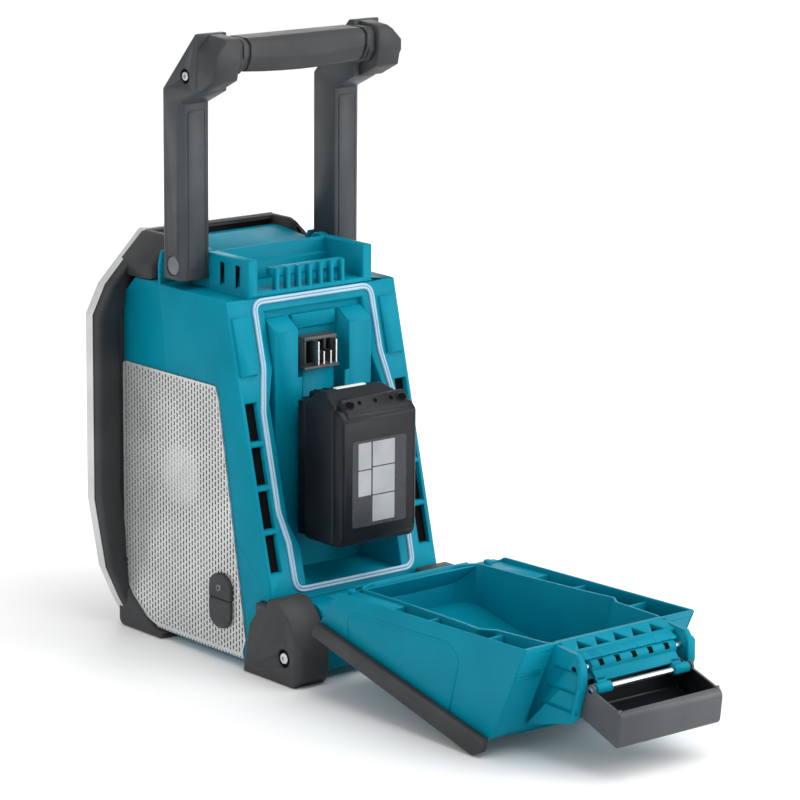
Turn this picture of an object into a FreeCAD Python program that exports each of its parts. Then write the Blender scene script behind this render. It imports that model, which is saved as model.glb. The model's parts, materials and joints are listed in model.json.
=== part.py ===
import FreeCAD, Part
import math
import os
import Sketcher

# Jobsite radio, millimetres. +X is the radio's right, -Y its front, +Z up.
# The battery door hangs open at the back, as it stands on the floor.
# Outlines are drawn from the rear face of the handle arms (y = 0) and the floor (z = 0);
# every piece is then moved so that the origin is the middle of the footprint.

DIMENSIONS = {
    # Body shell
    "body_half": 86, "wall": 3, "front_face": -88, "body_top": 295.5, "body_back_top": 293.7,
    "back_top_y": 50.5, "back_foot_y": 108.5, "back_foot_z": 62, "body_floor": 6,
    "base_rear": 138, "base_half": 58, "base_top": 60, "seam": 0.3,
    # Battery bay in the sloping back
    "bay_half": 50, "bay_wide_half": 58, "bay_top": 283, "bay_bottom": 66, "bay_floor_y": 50,
    "rail_inner": 26, "rail_outer": 49, "rail_face": 67, "rail_top": 267, "rail_bottom": 100,
    "lip_inner": 21.4, "lip_thick": 2, "pad_lift": 2.5, "cell_inner": 71, "cell_outer": 82,
    "seal_width": 5, "seal_inset": 11, "seal_depth": 2.4, "seal_proud": 0.9,
    # Trough for the closed latch
    "trough_half": 62.9, "trough_inner": 53.6, "trough_front": -0.8, "trough_top": 323.7,
    "trough_floor": 297, "catch_half": 35, "catch_rib": 3.6, "catch_top": 314.7,
    # Front frame, ring and grille
    "frame_half": 119.5, "frame_top_half": 65.3, "frame_height": 331, "frame_foot_half": 82,
    "frame_thick": 3, "lip_back": 10, "lip_width": 9, "ring_thick": 5, "ring_width": 11,
    "grille_thick": 1.5, "foot_half": 91, "foot_back": -30,
    # Control panel
    "panel_half": 80, "panel_low": 210, "panel_high": 292, "panel_thick": 6,
    "display_half": 30, "display_low": 240, "display_high": 280,
    "knob_x": 55, "knob_z": 258, "knob_radius": 15, "knob_deep": 11, "shaft_radius": 3,
    "button_z": 222, "button_pitch": 22, "button_half": 7.5, "button_tall": 8, "button_out": 2.2,
    "button_gap": 0.35,
    # Speakers
    "woofer_z": 118, "woofer_radius": 46, "woofer_depth": 40, "magnet_radius": 28,
    "tweeter_y": -9, "tweeter_z": 142, "tweeter_radius": 30, "tweeter_depth": 16,
    "side_grille_top": 224, "side_grille_bottom": 7,
    # Handle
    "pivot_y": -12, "pivot_z": 314, "pivot_radius": 5, "arm_inner": 64, "arm_outer": 92,
    "arm_front": -28, "arm_bottom": 302, "arm_bend": 445, "grip_rear": 49, "grip_top": 500,
    "grip_low": 467, "fit": 0.06,
    # Rear feet
    "foot_inner": 60, "foot_outer": 92, "foot_front": 95.4, "foot_rear": 150, "foot_top": 68.6,
    # Door
    "hinge_y": 151, "hinge_z": 50, "hinge_pin": 2.5, "knuckle": 6, "lug_inner": 30,
    "lug_outer": 40, "knuckle_outer": 52, "rim_z": 87.7, "rim_rise": 5, "door_near": 189.7,
    "door_mid_near": 177, "door_far": 409.5, "door_low_far": 373.4,
    "tray_wall": 4, "cavity_half": 61, "bumper_out": 6, "bumper_lap": 8,
    # Latch
    "latch_y": 430, "latch_z": 77, "bracket_inner": 51.4, "bracket_outer": 56.6,
    "bracket_rear": 438.7, "link_half": 43, "lever_pin_y": 441.8, "lever_pin_z": 63.2,
    "lever_half": 50.8, "lever_wall": 2.5, "lever_reach": 35.2, "lever_near": 12.2,
    "lever_depth": 27,
    # Battery pack
    "pack_half": 37.5, "pack_bottom": 102, "pack_long": 114, "pack_rear": 136.7,
    "pack_split": 113, "pack_front": 77, "pack_wall": 3, "shoulder": 20,
    "flange_half": 25.6, "neck_half": 21, "flange_front": 60.6, "flange_thick": 4,
    "cell_radius": 9.1, "cell_long": 65, "release_half": 16, "release_out": 3,
    "blade_thick": 1.2, "blade_bottom": 236.6, "blade_tall": 19,
    # Port cover
    "port_y": 47, "port_z": 50, "port_half": 14, "port_tall": 22.5, "port_thick": 5,
    "flap_thick": 3,
}

doc = FreeCAD.newDocument("JobsiteRadio")
sheet = doc.addObject("Spreadsheet::Sheet", "Sizes")
for row, (alias, number) in enumerate(DIMENSIONS.items(), start=1):
    sheet.set("A%d" % row, alias)
    sheet.set("B%d" % row, str(number))
    sheet.setAlias("B%d" % row, alias)
doc.recompute()

PIECES = []


class Size:
    """A length that knows its value and the expression that works it out of the sheet."""

    def __init__(self, value, text):
        self.value = float(value)
        self.text = text

    def __add__(self, other):
        return joined(self, "+", other, self.value + number_of(other))

    def __radd__(self, other):
        return joined(other, "+", self, number_of(other) + self.value)

    def __sub__(self, other):
        return joined(self, "-", other, self.value - number_of(other))

    def __rsub__(self, other):
        return joined(other, "-", self, number_of(other) - self.value)

    def __mul__(self, other):
        return joined(self, "*", other, self.value * number_of(other))

    def __rmul__(self, other):
        return joined(other, "*", self, number_of(other) * self.value)

    def __truediv__(self, other):
        return joined(self, "/", other, self.value / number_of(other))

    def __neg__(self):
        return joined(0, "-", self, -self.value)


def number_of(size):
    return size.value if isinstance(size, Size) else float(size)


def text_of(size):
    return size.text if isinstance(size, Size) else repr(float(size))


def joined(first, sign, second, value):
    return Size(value, "(%s %s %s)" % (text_of(first), sign, text_of(second)))


def root(size):
    return Size(math.sqrt(number_of(size)), "sqrt(%s)" % text_of(size))


class Sheet:
    """Reads a named size from the sheet."""

    def __getattr__(self, alias):
        return Size(DIMENSIONS[alias], "Sizes." + alias)


d = Sheet()

# Depth of the whole radio: from the knob's face to the latch lever's far edge
front_plane = d.front_face - d.frame_thick
panel_face = front_plane - d.panel_thick
knob_face = panel_face - d.seam - d.knob_deep
lever_far = d.lever_pin_y + d.lever_reach
middle_y = (knob_face + lever_far) / 2

# The back slopes, and so does the open door's rim: both slopes give the door's swing
slope = (d.back_foot_y - d.back_top_y) / (d.body_back_top - d.back_foot_z)
rim_slope = d.rim_rise / (d.door_far - d.door_near)
both = root(1 + slope * slope) * root(1 + rim_slope * rim_slope)
close_cos = (rim_slope - slope) / both
close_sin = (1 + rim_slope * slope) / both


def back_y(z):
    """Y of the sloping back at a height."""
    return d.back_top_y + (d.body_back_top - z) * slope


def bind(thing, path, size):
    """Binds one property to the sheet, or sets it when the size is a plain number."""
    if isinstance(size, Size):
        thing.setExpression(path, size.text)
    else:
        thing.setExpression(path, repr(float(size)))


def new_piece(name):
    """A body of its own, moved so that the origin is the middle of the footprint."""
    body = doc.addObject("PartDesign::Body", name)
    body.Label = name
    body.AllowCompound = True
    bind(body, "Placement.Base.y", -middle_y)
    PIECES.append(body)
    return body


def draw(body, plane, level, loops):
    """A sketch on one of the body's own planes, with every point held to the sheet."""
    sketch = body.newObject("Sketcher::SketchObject", body.Name + "_sketch")
    for feature in body.Origin.OriginFeatures:
        if feature.Role == plane + "_Plane":
            sketch.AttachmentSupport = [(feature, "")]
    sketch.MapMode = "FlatFace"
    bind(sketch, "AttachmentOffset.Base.z", level)
    rules = []
    for loop in loops:
        if loop[0] == "round":
            rules += draw_round(sketch, *loop[1:])
        else:
            rules += draw_outline(sketch, loop)
    sketch.addConstraint([rule for rule, _ in rules])
    for index, (_, size) in enumerate(rules):
        if size is not None:
            bind(sketch, "Constraints[%d]" % index, size)
    return sketch


def draw_round(sketch, across, up, radius):
    """A circle, and the rules that hold it."""
    centre = FreeCAD.Vector(number_of(across), number_of(up), 0)
    circle = sketch.addGeometry(Part.Circle(centre, FreeCAD.Vector(0, 0, 1), number_of(radius)), False)
    return [
        (Sketcher.Constraint("DistanceX", circle, 3, number_of(across)), across),
        (Sketcher.Constraint("DistanceY", circle, 3, number_of(up)), up),
        (Sketcher.Constraint("Radius", circle, number_of(radius)), radius),
    ]


def draw_outline(sketch, points):
    """Straight lines from point to point, and the rules that hold them."""
    corners = [FreeCAD.Vector(number_of(a), number_of(b), 0) for a, b in points]
    count = len(corners)
    first = sketch.GeometryCount
    lines = [Part.LineSegment(corners[i], corners[(i + 1) % count]) for i in range(count)]
    sketch.addGeometry(lines, False)
    rules = []
    for i, (across, up) in enumerate(points):
        following = first + (i + 1) % count
        rules.append((Sketcher.Constraint("Coincident", first + i, 2, following, 1), None))
        rules.append((Sketcher.Constraint("DistanceX", first + i, 1, number_of(across)), across))
        rules.append((Sketcher.Constraint("DistanceY", first + i, 1, number_of(up)), up))
    return rules


def level_and_length(plane, low, high):
    """Sketches on XZ look along -Y, so there the level is the far end of the span."""
    level = -high if plane == "XZ" else low
    return level, high - low


def pad(body, plane, low, high, *loops):
    """Material between two levels along the plane's own axis."""
    level, length = level_and_length(plane, low, high)
    feature = body.newObject("PartDesign::Pad", body.Name + "_pad")
    feature.Profile = draw(body, plane, level, loops)
    bind(feature, "Length", length)
    body.Tip = feature
    return feature


def cut(body, plane, low, high, *loops):
    """A pocket between two levels; it is checked at the end to have cut something."""
    level, length = level_and_length(plane, low, high)
    feature = body.newObject("PartDesign::Pocket", body.Name + "_pocket")
    feature.Profile = draw(body, plane, level, loops)
    feature.Reversed = True
    bind(feature, "Length", length)
    body.Tip = feature
    return feature


def soften(body, kind, size, wanted):
    """Rounds or bevels the edges that the wanted() test picks."""
    doc.recompute()
    tip = body.Tip
    names = []
    for number, edge in enumerate(tip.Shape.Edges, start=1):
        if wanted(edge):
            names.append("Edge%d" % number)
    feature = body.newObject("PartDesign::" + kind, body.Name + "_" + kind.lower())
    feature.Base = (tip, names)
    bind(feature, "Radius" if kind == "Fillet" else "Size", size)
    body.Tip = feature
    return feature


def runs_along(edge, axis):
    """True for a straight edge along X, Y or Z."""
    if len(edge.Vertexes) != 2:
        return False
    start, end = edge.Vertexes[0].Point, edge.Vertexes[1].Point
    step = end - start
    others = [abs(step[i]) for i in range(3) if i != axis]
    return abs(step[axis]) > 1 and max(others) < 0.001


def near_line(edge, axis, place, reach=1.0):
    """True for an edge along the axis that passes the given place in the other two."""
    if not runs_along(edge, axis):
        return False
    point = edge.Vertexes[0].Point
    others = [point[i] for i in range(3) if i != axis]
    return max(abs(others[k] - number_of(place[k])) for k in range(2)) < reach


def box_loop(left, low, right, high):
    return [(left, low), (right, low), (right, high), (left, high)]


def mirrored(points):
    """An outline given on the +X side only, closed by its mirror image."""
    return list(points) + [(-x, z) for x, z in reversed(points)]


def across(side, inner, outer):
    """The low and high X of something that spans inner to outer on one side."""
    return (inner, outer) if side > 0 else (-outer, -inner)


SIDES = (("right", 1), ("left", -1))


# Outlines that several pieces share

def housing_boundary(offset):
    """Lower front boundary between the shell and the front foot, from front to rear."""
    return [
        (d.front_face, 42 - offset),
        (d.front_face + 13, 27 - offset),
        (d.front_face + 33, 12 - offset),
        (d.front_face + 46, d.body_floor - offset),
    ]


def octagon(inset, foot_rise=0):
    """Front view of the flared frame, drawn in by the inset."""
    top = d.frame_height - inset
    half = d.frame_half - inset
    return mirrored([
        (d.frame_foot_half - inset * 0.6, inset * 1.0 + foot_rise),
        (d.frame_half - 23.5 - inset * 0.8, 24.5 + inset * 0.6),
        (d.frame_half - 10.7 - inset * 0.9, 52 + inset * 0.4),
        (half, 112 + inset * 0.1),
        (half, 266 - inset * 0.3),
        (d.frame_half - 12.5 - inset * 0.9, 290 - inset * 0.5),
        (d.frame_top_half - inset * 0.4, top),
    ])


def bay_outline(grow):
    """Opening of the battery bay, or a line a set distance outside it."""
    return mirrored([
        (d.bay_half - 1 + grow, d.bay_bottom - (0 if grow == 0 else 1)),
        (d.bay_half - 1 + grow, 98),
        (d.bay_wide_half + grow, 120),
        (d.bay_wide_half + grow, 212),
        (d.bay_half + grow, 238),
        (d.bay_half + grow, d.bay_top - 1 + grow),
    ])


def slope_slab(inward, outward, low, high):
    """Side view of a slab that follows the sloping back."""
    return [
        (back_y(low) - inward, low),
        (back_y(low) + outward, low),
        (back_y(high) + outward, high),
        (back_y(high) - inward, high),
    ]


# Root body: the shell and what is fixed in it

def make_rear_housing():
    body = new_piece("rear_housing")
    outline = housing_boundary(0) + [
        (d.foot_front - d.seam, d.body_floor),
        (d.foot_front - d.seam, d.base_top),
        (back_y(d.base_top), d.base_top),
        (d.back_top_y, d.body_back_top),
        (d.front_face + 17, d.body_top),
        (d.front_face, d.body_top - 16),
    ]
    pad(body, "YZ", -d.body_half, d.body_half, outline)
    # Raised base that carries the door hinge
    base = [
        (d.foot_front - 6, d.body_floor),
        (d.base_rear, d.body_floor),
        (d.base_rear + 5, d.body_floor + 12),
        (d.base_rear + 5, d.hinge_z - 6),
        (d.base_rear, d.base_top - 4),
        (d.base_rear - 6, d.base_top),
        (d.foot_front - 6, d.base_top),
    ]
    pad(body, "YZ", -d.base_half, d.base_half, base)
    # Trough block, catch, pivot bosses and ears stand on the shell's top
    pad(body, "XY", d.body_back_top - 4, d.trough_top,
        box_loop(-d.trough_half, d.trough_front - d.wall, d.trough_half, d.back_top_y - 0.5))
    cut(body, "XY", d.trough_floor, d.trough_top + 1,
        box_loop(-d.trough_inner, d.trough_front, d.trough_inner, d.back_top_y + 5))
    ribs = []
    for number in range(7):
        middle = (d.catch_half - d.catch_rib / 2) * ((number - 3) / 3)
        ribs.append(box_loop(middle - d.catch_rib / 2, d.trough_floor - 1,
                             middle + d.catch_rib / 2, d.catch_top))
    pad(body, "XZ", d.back_top_y - 6.5, d.back_top_y - 0.5, *ribs)
    for _, side in SIDES:
        low, high = across(side, d.trough_half - 8, d.arm_inner - d.seam)
        pad(body, "YZ", low, high, ("round", d.pivot_y, d.pivot_z, 11))
        pad(body, "YZ", low, high,
            box_loop(d.pivot_y - 11, d.body_back_top - 4, d.pivot_y + 11, d.pivot_z))
        low, high = across(side, d.arm_inner, d.body_half)
        pad(body, "YZ", low, high, [
            (d.arm_front - 12, d.body_top - 4), (d.arm_front - 9, d.body_top - 4),
            (d.arm_front - 9, d.pivot_z - 4), (d.arm_front - 5, d.pivot_z + 8),
            (d.arm_front - 8, d.pivot_z + 9), (d.arm_front - 12, d.pivot_z - 3)])
    # Inside of the shell, open to the front
    inner = [
        (d.front_face - 1, 42 + 1.3 * d.wall),
        (d.front_face + 13, 27 + 1.3 * d.wall),
        (d.front_face + 33, 12 + 1.3 * d.wall),
        (d.front_face + 46, d.body_floor + d.wall),
        (d.bay_floor_y - d.wall - 1, d.body_floor + d.wall),
        (d.bay_floor_y - d.wall - 1, d.body_back_top - d.wall - 1),
        (d.front_face + 17, d.body_top - d.wall - 2),
        (d.front_face - 1, d.body_top - 16 - 1.3 * d.wall),
    ]
    cut(body, "YZ", -(d.body_half - d.wall), d.body_half - d.wall, inner)
    # Posts for the circuit board
    posts = [("round", x * d.bay_half, z, 4) for x in (-1, 1) for z in (90, 250)]
    pad(body, "XZ", d.bay_floor_y - 18, d.bay_floor_y - d.wall, *posts)
    # Battery bay, its rails and the panel under the terminals
    cut(body, "XZ", d.bay_floor_y, d.base_rear, bay_outline(0))
    for _, side in SIDES:
        low, high = across(side, d.rail_inner, d.rail_outer)
        pad(body, "YZ", low, high, [
            (d.bay_floor_y - 1, d.rail_bottom), (d.rail_face, d.rail_bottom),
            (d.rail_face, d.rail_top), (d.bay_floor_y + 4, d.rail_top + 9),
            (d.bay_floor_y - 1, d.rail_top + 9)])
        low, high = across(side, d.lip_inner, d.rail_inner + 1)
        pad(body, "XY", d.rail_bottom, d.blade_bottom - 8.6,
            box_loop(low, d.rail_face - d.lip_thick, high, d.rail_face))
    pad(body, "XZ", d.bay_floor_y - 1, d.flange_front - 0.6,
        box_loop(-16, d.rail_bottom, 16, d.blade_bottom - 4.6))
    # Raised pads and deep pockets beside the bay
    for _, side in SIDES:
        low, high = across(side, d.cell_inner - 5, d.body_half - 2.5)
        pad(body, "YZ", low, high, slope_slab(2, d.pad_lift, 235.5, 281))
        cells = []
        for number in range(4):
            low_z = 82 + number * 34
            edges = across(side, d.cell_inner, d.cell_outer)
            cells.append(box_loop(edges[0], low_z, edges[1], low_z + 30))
        cut(body, "XZ", d.bay_floor_y + 2, d.base_rear, *cells)
    # Speaker openings, port opening, trough slots
    for _, side in SIDES:
        low, high = across(side, d.body_half - d.wall - 1, d.body_half + 1)
        cut(body, "YZ", low, high, ("round", d.tweeter_y, d.tweeter_z, d.tweeter_radius))
        low, high = across(side, d.trough_half - 3, d.trough_half + 1)
        slots = [box_loop(y, d.trough_floor + 4, y + 3.5, d.trough_top - 7) for y in (14, 34)]
        cut(body, "YZ", low, high, *slots)
    cut(body, "YZ", d.body_half - 15, d.body_half + 1,
        box_loop(d.port_y - 10.2, d.port_z - 17.2, d.port_y + 10.2, d.port_z - 2.8))
    # Hinge lugs with the bores of their pins
    for _, side in SIDES:
        low, high = across(side, d.lug_inner, d.lug_outer)
        pad(body, "YZ", low, high, ("round", d.hinge_y, d.hinge_z, d.knuckle))
        pad(body, "YZ", low, high, [
            (d.base_rear, d.hinge_z - 14), (d.hinge_y - 2, d.hinge_z - d.knuckle + 0.4),
            (d.hinge_y - 2, d.hinge_z + d.knuckle - 0.4), (d.base_rear, d.hinge_z + 2)])
        cut(body, "YZ", low, high, ("round", d.hinge_y, d.hinge_z, d.hinge_pin))
        low, high = across(side, d.trough_inner, d.arm_inner)
        cut(body, "YZ", low, high, ("round", d.pivot_y, d.pivot_z, d.pivot_radius))


def make_seal():
    """A raised strip round the bay, lying on the sloping back."""
    body = new_piece("door_seal")
    pad(body, "YZ", -90, 90, slope_slab(0, d.seal_proud, 58, 300))
    frame = box_loop(-95, 50, 95, 310)
    cut(body, "XZ", 30, 130, frame, bay_outline(d.seal_inset))
    cut(body, "XZ", 30, 130, bay_outline(d.seal_inset - d.seal_width))


def make_front_frame():
    body = new_piece("front_frame")
    pad(body, "XZ", front_plane, d.front_face, octagon(0), front_window(0))
    pad(body, "XZ", d.front_face, d.front_face + d.lip_back, octagon(0), octagon(d.lip_width))
    foot = [(d.front_face + 1, 0), (d.foot_back, 0), (d.foot_back, d.body_floor - d.seam)]
    foot += list(reversed(housing_boundary(d.seam)))
    foot += [(front_plane, 42 - d.seam), (front_plane, 6)]
    pad(body, "YZ", -d.foot_half, d.foot_half, foot)
    for _, side in SIDES:
        inner, outer = d.frame_top_half - 4, d.body_half + 2
        points = [
            (side * inner, d.body_top + d.seam), (side * outer, d.body_top + d.seam),
            (side * outer, 310), (side * d.frame_top_half, d.frame_height),
            (side * inner, d.frame_height)]
        pad(body, "XZ", d.front_face, d.arm_front - 22, points)
    # Upright of the lug joins the lip above the shell
    pad(body, "XZ", d.front_face, d.front_face + d.lip_back,
        box_loop(-d.frame_top_half, d.body_top + d.seam, d.frame_top_half, d.frame_height - 4))
    cut(body, "XY", -1, 4, box_loop(-58, d.front_face + 4, 58, d.foot_back + 1))


def front_window(inset):
    """Opening in the front frame, behind the grille and the control panel."""
    return mirrored([
        (60 - inset, 36 + inset), (78 - inset, 52 + inset),
        (78 - inset, 272 - inset), (66 - inset, 286 - inset)])


def make_front_ring():
    body = new_piece("front_ring")
    pad(body, "XZ", front_plane - d.ring_thick, front_plane,
        octagon(4), octagon(4 + d.ring_width))


def make_front_grille():
    body = new_piece("front_grille")
    low = 22
    points = mirrored([
        (d.frame_foot_half - 14, low), (d.frame_half - 40, 30), (d.frame_half - 28, 56),
        (d.frame_half - 17, 112), (d.frame_half - 17, d.panel_low - 3)])
    pad(body, "XZ", front_plane - d.grille_thick, front_plane, points)


def make_baffle():
    body = new_piece("baffle_board")
    half = d.body_half - d.wall - d.seam
    pad(body, "XZ", d.front_face, d.front_face + 4,
        box_loop(-half, 42 + 1.3 * d.wall + d.seam + 1, half, d.body_top - 17 - 1.3 * d.wall))
    cut(body, "XZ", d.front_face - 1, d.front_face + 5,
        ("round", 0, d.woofer_z, d.woofer_radius))
    cut(body, "XZ", d.front_face - 1, d.front_face + 5,
        ("round", d.knob_x, d.knob_z, d.shaft_radius + 1))


def make_control_panel():
    body = new_piece("control_panel")
    pad(body, "XZ", panel_face, front_plane, mirrored([
        (d.panel_half, d.panel_low), (d.panel_half, d.panel_high - 8),
        (d.panel_half - 10, d.panel_high)]))
    cut(body, "XZ", panel_face - 1, front_plane - 2,
        box_loop(-d.display_half, d.display_low, d.display_half, d.display_high))
    cut(body, "XZ", panel_face - 1, front_plane + 1,
        ("round", d.knob_x, d.knob_z, d.shaft_radius + d.fit))
    cut(body, "XZ", panel_face - 1, front_plane + 1,
        ("round", -d.knob_x, d.knob_z, d.button_half + d.button_gap))
    openings = [button_outline(number, d.button_gap) for number in range(6)]
    cut(body, "XZ", panel_face - 1, front_plane + 1, *openings)


def button_outline(number, grow):
    middle = d.button_pitch * (number - 2.5)
    return box_loop(middle - d.button_half - grow, d.button_z - d.button_tall / 2 - grow,
                    middle + d.button_half + grow, d.button_z + d.button_tall / 2 + grow)


def make_display():
    screen = new_piece("display_screen")
    pad(screen, "XZ", front_plane - 4, front_plane - 2,
        box_loop(-d.display_half + d.seam, d.display_low + d.seam,
                 d.display_half - d.seam, d.display_high - d.seam))
    lens = new_piece("display_lens")
    pad(lens, "XZ", panel_face, front_plane - 4,
        box_loop(-d.display_half + d.seam, d.display_low + d.seam,
                 d.display_half - d.seam, d.display_high - d.seam))


def make_knob():
    body = new_piece("tuning_knob")
    pad(body, "XZ", knob_face, panel_face - d.seam,
        ("round", d.knob_x, d.knob_z, d.knob_radius))
    pad(body, "XZ", panel_face - d.seam - 0.5, front_plane + 1,
        ("round", d.knob_x, d.knob_z, d.shaft_radius))
    cut(body, "XZ", knob_face - 1, knob_face + 1.2,
        ("round", d.knob_x, d.knob_z - d.knob_radius * 0.6, 2.6))


def make_buttons():
    power = new_piece("power_button")
    pad(power, "XZ", panel_face - d.button_out, front_plane - 1.8,
        ("round", -d.knob_x, d.knob_z, d.button_half))
    for number in range(6):
        body = new_piece("preset_button_%d" % (number + 1))
        pad(body, "XZ", panel_face - d.button_out, front_plane - 1.8, button_outline(number, 0))


def make_woofer():
    """Basket, cone and magnet on the axis of the front speaker."""
    start = d.front_face + 4
    basket = new_piece("woofer_basket")
    pad(basket, "XZ", start, start + 3, ("round", 0, d.woofer_z, d.woofer_radius + 6),
        ("round", 0, d.woofer_z, d.woofer_radius - 2))
    pad(basket, "XZ", start + 3, start + d.woofer_depth,
        ("round", 0, d.woofer_z, d.woofer_radius + 2),
        ("round", 0, d.woofer_z, d.woofer_radius - 1))
    pad(basket, "XZ", start + d.woofer_depth, start + d.woofer_depth + 3,
        ("round", 0, d.woofer_z, d.woofer_radius + 2))
    cone = doc.addObject("Part::Cone", "woofer_cone_body")
    bind(cone, "Radius1", d.woofer_radius - 3)
    bind(cone, "Radius2", 12)
    bind(cone, "Height", d.woofer_depth - 6)
    hollow = doc.addObject("Part::Cone", "woofer_cone_hollow")
    bind(hollow, "Radius1", d.woofer_radius - 5)
    bind(hollow, "Radius2", 9)
    bind(hollow, "Height", d.woofer_depth - 9)
    hollow.Placement = FreeCAD.Placement(FreeCAD.Vector(0, 0, -0.01), FreeCAD.Rotation())
    shell = doc.addObject("Part::Cut", "woofer_cone")
    shell.Base = cone
    shell.Tool = hollow
    turn = FreeCAD.Rotation(FreeCAD.Vector(1, 0, 0), -90)
    set_primitive(shell, "woofer_cone", turn, 0, start + 2, d.woofer_z)
    magnet = new_piece("woofer_magnet")
    back = start + d.woofer_depth + 3
    pad(magnet, "XZ", back, back + 16, ("round", 0, d.woofer_z, d.magnet_radius))


def set_primitive(piece, name, turn, x, y, z):
    """Puts a piece made of primitives in its place."""
    piece.Label = name
    piece.Placement = FreeCAD.Placement(FreeCAD.Vector(0, 0, 0), turn)
    bind(piece, "Placement.Base.x", x)
    bind(piece, "Placement.Base.y", y - middle_y)
    bind(piece, "Placement.Base.z", z)
    PIECES.append(piece)


def make_side_speakers():
    for word, side in SIDES:
        inner = d.body_half - d.wall
        basket = new_piece("side_basket_" + word)
        low, high = across(side, inner - 3, inner)
        pad(basket, "YZ", low, high,
            ("round", d.tweeter_y, d.tweeter_z, d.tweeter_radius + 4),
            ("round", d.tweeter_y, d.tweeter_z, d.tweeter_radius - 3))
        low, high = across(side, inner - 3 - d.tweeter_depth, inner - 3)
        pad(basket, "YZ", low, high, ("round", d.tweeter_y, d.tweeter_z, d.tweeter_radius),
            ("round", d.tweeter_y, d.tweeter_z, d.tweeter_radius - 3))
        low, high = across(side, inner - 7 - d.tweeter_depth, inner - 3 - d.tweeter_depth)
        pad(basket, "YZ", low, high, ("round", d.tweeter_y, d.tweeter_z, d.tweeter_radius))
        cone = new_piece("side_cone_" + word)
        low, high = across(side, inner - 3 - d.tweeter_depth, inner - d.tweeter_depth + 3)
        pad(cone, "YZ", low, high,
            ("round", d.tweeter_y, d.tweeter_z, d.tweeter_radius - 3.3))
        low, high = across(side, inner - d.tweeter_depth, inner - d.tweeter_depth + 10)
        pad(cone, "YZ", low, high, ("round", d.tweeter_y, d.tweeter_z, 11))


def make_side_grilles():
    for word, side in SIDES:
        body = new_piece("side_grille_" + word)
        low, high = across(side, d.body_half, d.body_half + d.grille_thick)
        points = [
            (d.front_face + 1, 43), (d.front_face + 13, 28), (d.front_face + 33, 13),
            (d.front_face + 46, d.side_grille_bottom), (70, d.side_grille_bottom),
            (77, 23), (42, 213), (36, d.side_grille_top), (d.front_face + 1, d.side_grille_top)]
        pad(body, "YZ", low, high, points)
        if side > 0:
            cut(body, "YZ", low - 1, high + 1, box_loop(
                d.port_y - d.port_half - 0.5, d.port_z - d.port_tall - 0.5,
                d.port_y + d.port_half + 0.5, d.port_z + d.port_tall + 0.5))


def make_port():
    """Rubber port cover: a screwed upper half and a hinged lower half over the sockets."""
    face = d.body_half
    frame = new_piece("port_frame")
    top = d.port_z + d.port_tall
    pad(frame, "YZ", face, face + d.port_thick, box_loop(
        d.port_y - d.port_half, d.port_z + 1.9, d.port_y + d.port_half, top))
    soften(frame, "Fillet", d.port_half - 1.5, lambda edge: near_line(
        edge, 0, (d.port_y - d.port_half, top)) or near_line(
        edge, 0, (d.port_y + d.port_half, top)))
    flap = new_piece("port_flap")
    low = d.port_z - d.port_tall
    outer = face + d.port_thick
    pad(flap, "YZ", outer - d.flap_thick, outer, box_loop(
        d.port_y - d.port_half, low, d.port_y + d.port_half, d.port_z))
    soften(flap, "Fillet", d.port_half - 1.5, lambda edge: near_line(
        edge, 0, (d.port_y - d.port_half, low)) or near_line(
        edge, 0, (d.port_y + d.port_half, low)))
    pad(flap, "XZ", d.port_y - d.port_half, d.port_y + d.port_half,
        ("round", outer - d.flap_thick / 2, d.port_z, d.flap_thick / 2))
    socket = new_piece("port_socket")
    pad(socket, "YZ", face - 14, face + 1, box_loop(
        d.port_y - 10.2, d.port_z - 17.2, d.port_y + 10.2, d.port_z - 2.8))
    cut(socket, "YZ", face - 8, face + 2, box_loop(
        d.port_y - 8, d.port_z - 13, d.port_y, d.port_z - 7))
    cut(socket, "YZ", face - 8, face + 2, ("round", d.port_y + 5, d.port_z - 10, 2.5))


def make_circuit_board():
    body = new_piece("circuit_board")
    rear = d.bay_floor_y - 18
    pad(body, "XZ", rear - 1.6, rear,
        box_loop(-d.bay_half - 8, 80, d.bay_half + 8, 260))
    chips = [box_loop(-30, 100, 5, 140), box_loop(15, 190, 40, 215), box_loop(-40, 200, -15, 240)]
    pad(body, "XZ", rear - 8, rear - 1.6, *chips)


def blade_places():
    """X and height of each terminal blade."""
    tall = d.blade_tall
    return [(-9, tall), (-3.5, tall * 0.55), (3.5, tall * 0.55), (9, tall)]


def make_terminals():
    block = new_piece("terminal_block")
    pad(block, "XZ", d.bay_floor_y, d.flange_front - 0.6,
        box_loop(-16.5, d.blade_bottom - 4.6, 16.5, d.blade_bottom + d.blade_tall + 2.4))
    blades = new_piece("terminal_blades")
    loops = []
    for x, tall in blade_places():
        loops.append(box_loop(x - d.blade_thick / 2, d.blade_bottom,
                              x + d.blade_thick / 2, d.blade_bottom + tall))
    pad(blades, "XZ", d.flange_front - 0.6, d.flange_front + 11, *loops)


def make_rear_feet():
    for word, side in SIDES:
        body = new_piece("rear_foot_" + word)
        low, high = across(side, d.foot_inner, d.foot_outer)
        pad(body, "YZ", low, high, [
            (d.foot_front, 0), (d.foot_rear - 6, 0), (d.foot_rear, 8), (d.foot_rear, 30),
            (d.foot_rear - 14, 56), (d.foot_rear - 26, 66), (d.foot_front + 16, 66),
            (d.foot_front + 14, d.base_top - d.seam), (d.foot_front, d.base_top - d.seam)])
        low, high = across(side, d.body_half + 2, d.foot_outer)
        pad(body, "YZ", low, high, [
            (d.foot_front - 16, 0), (d.foot_front + 1, 0), (d.foot_front + 1, 52),
            (d.foot_front - 8, 40)])
        soften(body, "Chamfer", 5, lambda edge: near_line(
            edge, 2, (side * d.foot_outer, d.foot_rear)))


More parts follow.
